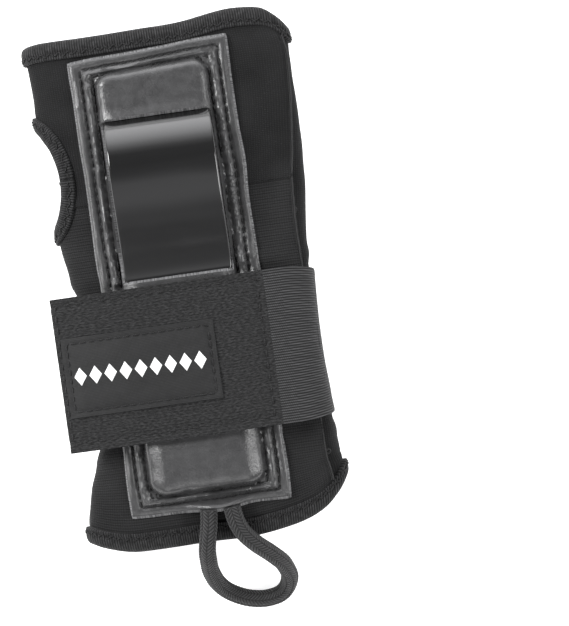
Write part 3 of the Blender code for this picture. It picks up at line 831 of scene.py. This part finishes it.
def lap_piping(seam_share, low, high):
    """A corded edge along the palm panel's lap over the back panel."""
    v = np.linspace(low + 5, high - 5, 260)
    line = on_sleeve(seam_share(v) - 0.003, v, LAP + 0.1 * noise(v / 3, 0 * v, 71))
    points, faces, flats = sweep(line, 0.55, 8)
    add_mesh("lap_piping", points, faces, flats, ["selvedge"], "guard", sharp=180)


def sleeve():
    low, high = FOREARM_RIM + FOLD, HAND_RIM - FOLD
    palm_width, back_width = perimeter(0) * SEAM_SHARE, perimeter(0) * (2 - SEAM_SHARE)
    seam_x = curve_through(SEAM_X)

    def seam_share(v):
        return SLEEVE.share_at(seam_x(v), v)

    def palm_share(u, v):
        return 0.002 + (seam_share(v) - 0.002) * u / palm_width

    def back_share(u, v):
        start = seam_share(v) - 0.012
        return start + (1.998 - start) * u / back_width

    def palm_lap(u, v):
        clear = smooth((high - 4 - v) / 4) * smooth((v - low - 4) / 4)
        return (0.7 + 1.1 * clear) * smooth((u - palm_width + 9) / 8)

    def hand_lap(u, v):
        return palm_lap(u, v) + 0.5 * smooth((PALM_SPLIT + 5 - v) / 4)

    def sunk(u, v):
        return -0.5 * smooth((5 - u) / 4)

    lap_piping(seam_share, low, high)
    hand = sleeve_panel("palm_panel_upper", palm_share, palm_width, PALM_SPLIT, high, "jersey",
                        hand_lap, ["palm_panel_hand"])
    wrist = sleeve_panel("palm_panel_lower", palm_share, palm_width, low, PALM_SPLIT - 0.1,
                         "ribbed", palm_lap, ["palm_panel_wrist"])
    back = sleeve_panel("back_sleeve_panel", back_share, back_width, low, high, "jersey", sunk,
                        ["back_panel"])
    half_hole = math.pi * THUMB_HALF_REACH * THUMB_HALF_LENGTH / 2
    for obj, sharer, across, v0, v1, hole, under in (
            (hand, palm_share, palm_width, PALM_SPLIT, high, 0.75 * half_hole, "back_panel"),
            (wrist, palm_share, palm_width, low, PALM_SPLIT - 0.1, 0.25 * half_hole, "back_panel"),
            (back, back_share, back_width, low, high, half_hole, "back_pocket_cover")):
        us = np.linspace(0, across, 90)
        runs = [run_length(on_sleeve(sharer(us, v), v, 0.0)) for v in np.linspace(v0, v1, 15)]


def fold_section(leg):
    """The folded tape's section: w runs from the raw edge into the sleeve, d out of it."""
    out = [(leg, -0.2), (leg, 0.85), (leg - 0.3, 1.25), (leg - 0.7, 1.3), (leg - 1.1, 1.1),
           (leg - 2.3, 1.1), (leg - 2.75, 1.4), (0.2, 1.4), (-0.9, 1.15), (-1.75, 0.6),
           (-2.2, -0.2), (-2.4, -1.5)]
    return out + [(w, -NEOPRENE - d) for w, d in out[::-1]]


def ruffle(turn, count, seed):
    return noise(turn * count, 0 * turn, seed) * 0.5 + 0.5 * np.sin(turn * count * 2.1)


def rim_place(rim, inward, seed):
    def place(turn, w, d):
        d = d + np.where(d > 0, 1, -1) * 0.13 * ruffle(turn, 60, seed)
        return on_sleeve(2 * turn, rim + inward * (w + FOLD) + 0.2 * ruffle(turn, 17, seed + 3), d)
    return place


def thumb_place(turn, w, d):
    angle = 2 * math.pi * turn
    c, s = np.cos(angle), np.sin(angle)
    nx, ny = c / THUMB_HALF_REACH, s / THUMB_HALF_LENGTH
    n = np.hypot(nx, ny)
    across = THUMB_HALF_REACH * c + w * nx / n
    along = THUMB_HALF_LENGTH * s + w * ny / n
    d = d + np.where(d > 0, 1, -1) * 0.13 * ruffle(turn, 30, 5)
    return on_sleeve(across / REACH, THUMB_HOLE_Y + along, d)


ZIGZAG = 3.2  # length of one zig and zag
ZIGZAG_HALF = 0.62


def tape_stitch(name, place, length, w):
    """A dark zig-zag close to a binding's edge, outside and inside."""
    def both(side):
        def put(x, y, d):
            return place(x / length, w + y, side * (1.25 + d) - (0 if side > 0 else NEOPRENE))
        return put

    count = 2 * round(length / ZIGZAG)
    path = [(length * k / count, ZIGZAG_HALF * (-1) ** k) for k in range(count + 1)]
    for side, ending in ((1, ""), (-1, "_inside")):
        stitches(name + ending, path, both(side), 0.0, pitch=1.72, radius=0.24, bury=0.22,
                 part=0.92)


def bindings():
    for name, node, rim, inward, seed in (
            ("hand_rim_tape", "hand_binding", HAND_RIM, -1, 2),
            ("forearm_rim_tape", "forearm_binding", FOREARM_RIM, 1, 4)):
        place = rim_place(rim, inward, seed)
        obj = ring(name, 420, fold_section(4.0), place)
        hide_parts(node)
        tape_stitch(name + "_stitch", place, 206.0, 2.3)
    obj = ring("thumb_hole_tape", 200, fold_section(3.3), thumb_place)
    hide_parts("thumb_hole_binding")
    tape_stitch("thumb_hole_stitch", thumb_place, 92.0, 1.6)


VENTS = ((1.93, 59), (1.9, 40), (1.88, -53), (1.10, 52), (1.10, 30), (1.09, -58), (0.9, 48),
         (0.9, 20), (0.9, -62))  # share and y
VENT_RADIUS = 0.8


def vents():
    """Vents in the neoprene: each is a ring on its face, and none is cut through. The ring's dark
    thread look is painted shade where the hole's dark inside would show.
    """
    tubes = []
    angle = np.linspace(0, 2 * math.pi, 20, endpoint=False)
    across, along = VENT_RADIUS * np.cos(angle) / REACH, VENT_RADIUS * np.sin(angle)
    for share, y in VENTS:
        tubes.append(sweep(on_sleeve(share + across, y + along, 0.35), 0.42, 6, closed=True))
    gathered("vent_holes", tubes)


sleeve()
bindings()
vents()


# ---- palm pocket

COVER_HALF = 26.2
COVER_TOP = 79.5
COVER_BOTTOM = -74.0
COVER = 1.6
ROW_OUT = 23.2  # stitch rows, from the pocket's middle line
ROW_IN = 19.4
END_OUT = 2.9  # the same rows across its ends, from the end
END_IN = 5.5
WINDOW = (-21.6, 15.2, 3.0, 58.2)
WINDOW_ROUND = 2.6
FIELD = 5.6  # height of the leather over the plate
FIELD_ROUND = 5.0  # radius of the raised field's corners
EDGE_HEIGHT = 1.9
ROW_HEIGHT = 1.1
ROW_PITCH = 3.1
PLATE_HALF = 18.0
PLATE_Y = (-64, 71)
PLATE_ROUND = 0.8
FOAM_HALF = 18.6
BULGE_FOOT = 4.5
BULGE_CREST = 42.0
BULGE_HEAD = 57.2
BULGE_HEIGHT = 8.5


def bulge(y):
    rise = np.sin(0.5 * math.pi * np.clip((y - BULGE_FOOT) / (BULGE_CREST - BULGE_FOOT), 0, 1))
    fall = 1 - np.clip((y - BULGE_CREST) / (BULGE_HEAD - BULGE_CREST), 0, 1) ** 2.4
    return BULGE_HEIGHT * np.where(y < BULGE_CREST, rise**1.25, fall)


def row_place(t, s):
    """(q, f): q is 0 at the cover's edge, 1 at the outer and 2 at the inner row, and f is the
    depth into the field. t is the distance from the middle line and s from the near end."""
    q_side = np.where(t > ROW_OUT, (COVER_HALF - t) / (COVER_HALF - ROW_OUT),
                      1 + (ROW_OUT - t) / (ROW_OUT - ROW_IN))
    q_end = np.where(s < END_OUT, s / END_OUT, 1 + (s - END_OUT) / (END_IN - END_OUT))
    f_side, f_end = ROW_IN - t, s - END_IN
    corner = np.hypot(np.maximum(FIELD_ROUND - f_side, 0), np.maximum(FIELD_ROUND - f_end, 0))
    f = np.where((f_side < FIELD_ROUND) & (f_end < FIELD_ROUND), FIELD_ROUND - corner,
                 np.minimum(f_side, f_end))
    return np.minimum(np.minimum(q_side, q_end), 2), f


def leather_height(x, y):
    """Height of the padded cover over the sleeve."""
    t = np.abs(x - POCKET_X) + 0.25 * noise(y / 9, 0 * y, 11)
    s = np.minimum(COVER_TOP - y, y - COVER_BOTTOM) + 0.3 * noise(x / 8, 0 * x, 13)
    q, f = row_place(t, s)
    along = np.where(t > s + 13, x, y)
    stitch = 0.5 + 0.5 * np.cos(2 * math.pi * along / ROW_PITCH)
    margin = EDGE_HEIGHT - (0.6 + 0.5 * stitch) * bell((q - 1) / 0.2) - 0.2 * (q < 0.12)
    welt = np.sin(math.pi * np.clip(q - 1, 0, 1)) ** 0.8
    pucker = noise(y / 1.9 + 30 * (t < ROW_IN), x / 6, 15)
    height = margin + np.where(q > 1, 1.25 * welt * (1 + 0.35 * noise(y / 7, x / 30, 16)), 0)
    height = height + 0.6 * pucker * bell((q - 1.5) / 0.5)
    height = height - 0.45 * stitch * bell((q - 2) / 0.25) * (q < 2)
    deep = np.maximum(f, 0)
    inner = ROW_HEIGHT + (FIELD - ROW_HEIGHT) * (1 - np.exp(-deep))
    wrinkle = noise(x / 5.5 + 0.4 * noise(y / 6, x / 9, 11), y / 4.5, 18)
    inner = inner + 0.35 * wrinkle * np.exp(-deep / 5)
    return np.where(f > 0, np.maximum(inner, ROW_HEIGHT), height)


def over_window_ends(x, y):
    """Leather lifts towards the plate's riser above the window and falls beside it."""
    return 0.9 * smooth((62 - y) / 5) * smooth((ROW_IN - 2 - np.abs(x - POCKET_X)) / 4)


def palm_field(x, y, rise):
    """The stitched cover: it follows the sleeve at its rows and lies flat over the plate."""
    h = leather_height(x, y)
    away = np.clip(np.abs(x - POCKET_X) / COVER_HALF, 0, 1.1) ** 8
    ends = smooth((y - 74) / 4) + smooth((-70 - y) / 3)
    skew = 0.046 * (x - POCKET_X) * smooth((y - 64) / 12)
    wander = 0.35 * noise(x / 11, y / 90, 15) * ends
    lying = on_palm(x + 0.55 * away * noise(y / 13, x / 50, 13), y + skew + wander, h + rise)
    flat = palm_level(0.0) + h + rise + over_window_ends(x, y) * (h > 4)
    crown = smooth((h - 1.5) / 3.5)
    lying[..., 2] = lying[..., 2] * (1 - crown) + flat * crown
    low = smooth((-50.5 - y) / 3) * smooth((y + 68) / 5)
    lying[..., 2] += 0.7 * low * crown * (1 - ((x - POCKET_X) / 19) ** 2).clip(0)
    mouth = bell(x / 8.5) * smooth((-70.5 - y) / 3)
    lying[..., 2] += 3.4 * mouth
    lying[..., 1] -= 0.9 * mouth
    return lying


def rounded_window(x, y):
    """Turns the window's square corners on the grid into round ones."""
    x, y = x.copy(), y.copy()
    r = WINDOW_ROUND
    for cx, sx in ((WINDOW[0] + r, -1), (WINDOW[1] - r, 1)):
        cy = WINDOW[3] - r
        dx, dy = (x - cx) * sx, y - cy
        inside = (dx > 0) & (dy > 0)
        big = np.maximum(np.maximum(dx, dy), 1e-6)
        pull = big / np.maximum(np.hypot(dx, dy), 1e-6)
        weight = np.clip(1 - (big - r) / (1.6 * r), 0, 1)
        scale = np.where(inside, 1 + (pull - 1) * weight, 1)
        x, y = np.where(inside, cx + sx * dx * scale, x), np.where(inside, cy + dy * scale, y)
    return x, y


def lines_through(stops, step):
    """Grid lines about step apart that fall on every stop."""
    made = []
    for a, b in zip(stops, stops[1:]):
        made += spaced(a, b, step)[:-1]
    return made + [stops[-1]]


def underside(field, middle, low, high, depth):
    """The cover's inner face. Past the cover's own edge it runs straight on."""
    def bottom(u, v):
        x = np.clip(u, middle - COVER_HALF, middle + COVER_HALF)
        y = np.clip(v, low, high)
        points = field(x, y, -depth)
        points[..., 0] += u - x
        points[..., 1] += v - y
        return points
    return bottom


def palm_cover():
    us = lines_through([POCKET_X - COVER_HALF, WINDOW[0], WINDOW[1], POCKET_X + COVER_HALF], 0.55)
    vs = lines_through([COVER_BOTTOM, WINDOW[2], WINDOW[3], COVER_TOP], 0.65)
    inner = underside(palm_field, POCKET_X, COVER_BOTTOM, COVER_TOP, COVER)

    def outside_window(u, v):
        return inset(u, v, *WINDOW) <= 0

    def top(u, v):
        return palm_field(*rounded_window(u, v), 0.0)

    obj = slab("palm_cover", us, vs, top, lambda u, v: inner(*rounded_window(u, v)),
               ["vinyl", "edge"], keep=outside_window, flare=0.8)
    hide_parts("palm_pocket_cover")
    middle = np.array(POCKET_X)
    width = run_length(top(np.linspace(us[0], us[-1], 22), np.array(-40.0)))
    length = WINDOW[3] - WINDOW[2]
    for start, end, count in ((vs[0], WINDOW[2] - 0.5, 26), (WINDOW[3] + 0.5, vs[-1], 9)):
        length += run_length(top(middle, np.linspace(start, end, count)))


def palm_rows():
    for name, node, half, end in (
            ("palm_outer_stitch", "palm_pocket_outer_seam", ROW_OUT, END_OUT),
            ("palm_inner_stitch", "palm_pocket_inner_seam", ROW_IN + 0.1, END_IN)):
        path = rectangle(POCKET_X - half, POCKET_X + half, COVER_BOTTOM + end, COVER_TOP - end)
        obj = stitches(name, path, palm_field, 0.12, pitch=ROW_PITCH, radius=0.36, bury=0.4)
        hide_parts(node)


def skid_plate():
    """One bent glossy splint: its edges are rounded and its bow crowns slightly."""
    flat = np.linspace(0.9, -0.9, 16)
    section = []  # side, face, and the offset from that corner
    for side, face, start in ((1, 1, 0), (-1, 1, 90), (-1, -1, 180), (1, -1, 270)):
        for turn in range(start, start + 91, 18):
            c, s = math.cos(math.radians(turn)), math.sin(math.radians(turn))
            section.append((side, face, (c - side) * PLATE_ROUND, (s - face) * PLATE_ROUND))
        if side == face:
            section += [(side * x, face, 0, 0) for x in flat]
    side, face, dx, dz = np.array(section).T
    y = spaced(PLATE_Y[0], 3, 2.5)[:-1] + spaced(3, 60, 0.4)[:-1] + spaced(60, PLATE_Y[1], 1.5)
    y = np.array(y)[:, None]
    half = PLATE_HALF - 1.3 * (1 - smooth((y - 1) / 4) * smooth((59.5 - y) / 3))
    slope = (bulge(y + 0.05) - bulge(y - 0.05)) / 0.1
    n = np.hypot(1, slope)
    across = side * half + dx
    off = face * PLATE / 2 + dz
    crown = 0.15 * (1 - (across / PLATE_HALF) ** 2)
    points = np.stack([POCKET_X + across, y - off * slope / n * 0.8,
                       PLATE_BASE + bulge(y) + crown + PLATE / 2 + off / n], -1).reshape(-1, 3)
    faces = tube_faces(np.arange(len(points)).reshape(-1, len(section)))
    obj = add_mesh("skid_plate", points, faces, points[:, :2], ["gloss"], "guard",
                   sharp=60)
    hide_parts("palm_skid_plate")


def foam_bed():
    """The pad between plate and sleeve, seen in the window's sides."""
    us = spaced(POCKET_X - FOAM_HALF, POCKET_X + FOAM_HALF, 1.2)

    def top(u, v):
        lying = on_palm(u, v, 0.3)
        edge = smooth((FOAM_HALF - np.abs(u - POCKET_X)) / 1.6)
        lying[..., 2] += (1.2 + 0.12 * noise(u / 3, v / 3, 21)) * (0.35 + 0.65 * edge)
        return lying

    obj = slab("plate_foam", us, spaced(*PLATE_Y, 1.5), top, lambda u, v: on_palm(u, v, 0.0),
               ["foam"])
    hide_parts("palm_foam_pad")


palm_cover()
palm_rows()
skid_plate()
foam_bed()


# ---- back patch

BACK_X = 3.0
BACK_TOP = 78.0
BACK_BOTTOM = -74.0
BACK_COVER = 1.3
BACK_ROWS = ((23.4, 2.9), (20.4, 5.6))  # from the middle line, and from each end
BACK_FIELD = 17.6  # half the width of the splint's ridge
SPLINT_END = -59.5
BACK_PLANE = 4.9  # the sleeve's lowest level less its gap


def back_field(x, y, rise):
    """The back cover with the flat splint's ridge pressed into it. rise is outward, so down."""
    t = np.abs(x - BACK_X) + 0.2 * noise(y / 9, 0 * y, 31)
    s = np.minimum(BACK_TOP - y, y - BACK_BOTTOM) + 0.25 * noise(x / 8, 0 * x, 33)
    f = np.minimum(BACK_FIELD - t, y - SPLINT_END)
    ridge = smooth(f / 2.6 + 0.6)
    row, row_in = (np.minimum(np.abs(t - half), np.abs(s - end)) for half, end in BACK_ROWS)
    h = 1.5 - 0.5 * bell(row / 0.45) - 0.4 * bell(row_in / 0.45) * (1 - ridge)
    h = h + 0.16 * noise(x / 3.1, y / 3.7, 35) * (1 - 0.6 * ridge)
    lying = on_back(x, y, h + rise)
    flat = BACK_PLANE - 2.1 - h + 0.4 - rise
    lying[..., 2] = lying[..., 2] * (1 - ridge) + np.minimum(flat, lying[..., 2]) * ridge
    return lying


def back_patch():
    obj = slab("back_cover", spaced(BACK_X - COVER_HALF, BACK_X + COVER_HALF, 0.7),
               spaced(BACK_BOTTOM, BACK_TOP, 0.8), lambda u, v: back_field(u, v, 0.0),
               underside(back_field, BACK_X, BACK_BOTTOM, BACK_TOP, BACK_COVER),
               ["vinyl", "edge"], flare=0.5)
    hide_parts("back_pocket_cover")
    rows = [stitches(name, rectangle(BACK_X - half, BACK_X + half, BACK_BOTTOM + end,
                                     BACK_TOP - end), back_field, 0.1, pitch=ROW_PITCH, radius=0.34)
            for name, (half, end) in zip(("back_outer_stitch", "back_inner_stitch"), BACK_ROWS)]
    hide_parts("back_pocket_seam")


def loop_pad():
    """Velour pad: its pile stands in tufts and thins at the cut edges."""
    x0, x1, y0, y1 = BACK_X - 24.8, BACK_X + 24.8, 6.2, BACK_TOP - 0.6

    def tuft(u, v):
        wild = 0.32 * noise(u / 0.8, v / 0.8, 41) + 0.22 * noise(u / 2.3, v / 2.3, 43)
        return (0.75 + wild) * smooth(inset(u, v, x0, x1, y0, y1) / 0.8) + 0.05

    def top(u, v):
        ragged = 0.35 * noise(v / 1.6, u / 1.6, 45)
        edge_u = np.where((u <= x0) | (u >= x1), ragged, 0)
        edge_v = np.where((v <= y0) | (v >= y1), ragged, 0)
        return back_field(u + edge_u, v + edge_v, 0.15 + tuft(u, v))

    obj = slab("velour_pad", spaced(x0, x1, 0.55), spaced(y0, y1, 0.6), top,
               lambda u, v: back_field(u, v, 0.02), ["velour", "edge"], flare=0.25)
    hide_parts("back_loop_pad")
    path = rectangle(x0 + 2.0, x1 - 2.0, y0 + 2.0, y1 - 2.0)
    stitches("pad_stitch", path, back_field, 1.0, pitch=3.3, radius=0.3, bury=0.5)


def back_splint():
    for slot in frame["nodes"]["back_splint"].material_slots:
        slot.material = LOOKS["gloss"]


back_patch()
loop_pad()
back_splint()


# ---- strap

ANCHOR_SHARE = 0.1
NARROWS = 2.2
BEND_X = -18.0
END_DROP = 5.0
TAPE_END = 27.0
TWILL_X = 25.0  # from here to the free end the hook tape shows through
TAPE_LOW, TAPE_HIGH = STRAP_BOTTOM + 1, STRAP_TOP - 1
BOX_LOW, BOX_HIGH, BOX_X = STRAP_BOTTOM + 3, STRAP_TOP - 2.5, 22.0  # the stitched box
LABEL = (-44.5, 6.0, -38.5, -12.0)


def strap_edge(share, y):
    middle = (STRAP_TOP + STRAP_BOTTOM) / 2
    narrow = NARROWS * smooth((share - 0.78) / 0.2)
    return middle + (y - middle) * (1 - 2 * narrow / (STRAP_TOP - STRAP_BOTTOM))


def anchor_run(share, y, d):
    """Sewn round the thumb edge, then taut under the back and up the little-finger side."""
    y = strap_edge(share, y)
    hugging = SLEEVE(share, y, d + 0.35)
    taut = STRAP(share, y, d)
    blend = smooth((1.95 - share) / 0.17)[..., None]
    return hugging * (1 - blend) + taut * blend


def palm_run(x, y, d):
    """Across the pocket, then hanging out past the thumb edge; its end bows a little."""
    x, y, d = np.broadcast_arrays(np.asarray(x, float), np.asarray(y, float), np.asarray(d, float))
    share = STRAP.share_at(np.maximum(x, 0.01), y)
    over = STRAP(share, strap_edge(share, y), d)
    reach = BEND_X - FREE_END
    out = np.maximum(0, (BEND_X - x) / reach)
    slope = 2 * END_DROP * out / reach
    n = np.hypot(1, slope)
    flat = np.stack([x - d * slope / n, y, STRAP_HIGH - END_DROP * out**2 + d / n], -1)
    return np.where((x > 0)[..., None], over, flat)


def weave_relief(u, v, seed):
    return 0.1 * noise(u / 6, v / 8, seed) + 0.05 * noise(u / 1.5, v / 1.5, seed + 1)


def box_dips(u, v):
    """The stitched box pulls the palm run down along its rows."""
    near = np.minimum(np.abs(v - BOX_LOW), np.abs(v - BOX_HIGH))
    near = np.where(u > BOX_X + 0.6, 9, near)
    inside = (v > BOX_LOW) & (v < BOX_HIGH)
    return -0.4 * bell(np.minimum(near, np.where(inside, np.abs(u - BOX_X), 9)) / 0.9)


def strap_runs():
    turn = 0.5 * (1 + float(STRAP.share_at(HINGE_X, STRAP_Y)))
    vs = spaced(STRAP_BOTTOM, STRAP_TOP, 0.9)
    reach = HINGE_X - FREE_END
    back = slab("strap_sewn_run", spaced(turn * FLAT, (2 + ANCHOR_SHARE) * FLAT, 0.9), vs,
                lambda u, v: anchor_run(u / FLAT, v, ELASTIC + weave_relief(u, v, 51)),
                lambda u, v: anchor_run(u / FLAT, v, 0.0), ["elastic", "selvedge"],
                body=None)
    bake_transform(back)
    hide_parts("strap_back_run", "strap_side_run")

    def tail_place(u, v, d):
        """u below 0 is on the side, by share; above it is the distance along the palm run."""
        hinge = STRAP.share_at(np.full(np.shape(v), HINGE_X), v)
        share = turn + (hinge - turn) * np.clip(u + 1, 0, 1)
        side = STRAP(share, strap_edge(share, v), d)
        x = HINGE_X - np.maximum(u, 0)
        return np.where((u < 0)[..., None], side, palm_run(x, v, d))

    def tail_top(u, v):
        end = -0.35 * smooth((u - reach + 1.2) / 1.2)
        return tail_place(u, v, ELASTIC + weave_relief(u, v, 57) + box_dips(HINGE_X - u, v) + end)

    us = [k / 40 - 1 for k in range(40)] + spaced(0, reach, 0.8)
    obj = slab("strap_palm_flap", us, vs, tail_top, lambda u, v: tail_place(u, v, 0.0),
               ["hooked", "selvedge"], body=None)
    layer = obj.data.uv_layers["flat"]
    # The side and right-hand end take the lighter plain webbing: partly its own tone, partly
    # painted light.
    obj.data.materials.append(LOOKS["elastic"])
    for face in obj.data.polygons:
        u = layer.data[face.loop_start].uv[0]
        if u < HINGE_X - TWILL_X and face.material_index == 0:
            face.material_index = 2
    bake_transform(obj)
    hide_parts("strap_palm_run")
    length = (2 + ANCHOR_SHARE - turn) * perimeter(STRAP_Y) * 1.08 * MM


def tapes():
    """Hook tape under the flap, loop tape round the thumb edge."""
    def hooks(u, v):
        crop = np.maximum(0, np.sin(u * math.pi / 0.9) * np.sin(v * math.pi / 0.9))
        return palm_run(u, v, -1.1 - 0.3 * crop)

    us = spaced(FREE_END + 2.5, TAPE_END, 0.9)
    obj = slab("hook_patch", us, spaced(TAPE_LOW, TAPE_HIGH, 0.9), hooks,
               lambda u, v: palm_run(u, v, 0.02), ["loops", "selvedge"], body="strap_tail")
    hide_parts("hook_tape")
    start = 2 - float(SLEEVE.share_at(-28.5, STRAP_Y))
    us = spaced(start * FLAT, (2 + ANCHOR_SHARE - 0.02) * FLAT, 0.5)

    def curls(u, v):
        e = np.minimum(v - TAPE_LOW, TAPE_HIGH - v)
        wild = 0.5 * noise(u / 0.8, v / 1.1, 61) + 0.3 * noise(u / 0.4, v / 0.5, 63)
        return anchor_run(u / FLAT, v, ELASTIC + 0.5 + (0.55 + wild) * smooth((e - 2.2) / 0.8))

    obj = slab("loop_patch", us, spaced(TAPE_LOW, TAPE_HIGH, 0.5), curls,
               lambda u, v: anchor_run(u / FLAT, v, ELASTIC + 0.05), ["loops", "selvedge"])
    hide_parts("loop_tape")
    (us[-1] - us[0]) / FLAT * perimeter(STRAP_Y) * MM


def label_top(u, v):
    e = inset(u, v, *LABEL)
    puff = 0.3 * smooth(e / 6) + 0.14 * noise(u / 5, v / 4, 71) - 0.18 * bell((e - 1.9) / 0.6)
    return palm_run(u, v, ELASTIC + 0.55 + puff)


def strap_label():
    x0, x1, y0, y1 = LABEL
    obj = slab("label_cloth", spaced(x0, x1, 0.6), spaced(y0, y1, 0.6), label_top,
               lambda u, v: palm_run(u, v, ELASTIC - 0.2), ["label", "label"],
               body="strap_tail")
    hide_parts("strap_label")
    obj = stitches("label_stitch", rectangle(x0 + 1.9, x1 - 1.9, y0 + 1.9, y1 - 1.9, 0.6),
                   lambda u, v, d: palm_run(u, v, ELASTIC + 0.55 + d), 0.0, body="strap_tail",
                   pitch=2.9, radius=0.24, bury=0.3)
    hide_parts("label_seam")


def label_diamonds():
    """Nine plain diamonds in a row, each a thin closed sheet on the label."""
    number, side = 9, 9
    s, t = np.meshgrid(np.linspace(-1, 1, side), np.linspace(-1, 1, side), indexing="ij")
    diamond = np.stack([(s + t) / 2 * 2.05, (s - t) / 2 * 3.0], -1).reshape(-1, 2)
    flats = np.concatenate([diamond + (-39.4 + 4.95 * k, -25.0) for k in range(number)])
    grid = np.arange(side**2).reshape(side, side)
    square = np.stack([grid[:-1, :-1], grid[1:, :-1], grid[1:, 1:], grid[:-1, 1:]], -1)
    rim = np.concatenate([grid[:-1, 0], grid[-1, :-1], grid[:0:-1, -1], grid[0, :0:-1]])
    ahead = np.roll(rim, -1)
    count = len(flats)
    wall = np.stack([ahead, rim, rim + count, ahead + count], -1)
    square = square.reshape(-1, 4)
    one = np.concatenate([square, square[:, ::-1] + count, wall])
    faces = np.concatenate([one + side**2 * k for k in range(number)])
    upper, lower = label_top(*flats.T), label_top(*flats.T)
    upper[:, 2] += 0.12
    lower[:, 2] -= 0.05
    add_mesh("label_diamonds", np.concatenate([upper, lower]), faces,
             np.concatenate([flats, flats]), ["ink"], "strap_tail")


def flap_stitches():
    obj = stitches("flap_box_stitch", rectangle(FREE_END + 1.6, BOX_X, BOX_LOW, BOX_HIGH),
                   lambda u, v, d: palm_run(u, v, ELASTIC + d + box_dips(u, v)), 0.05,
                   body="strap_tail", pitch=3.9, radius=0.3, bury=0.35, part=0.6)
    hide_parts("hook_tape_seam")


strap_runs()
tapes()
strap_label()
label_diamonds()
flap_stitches()
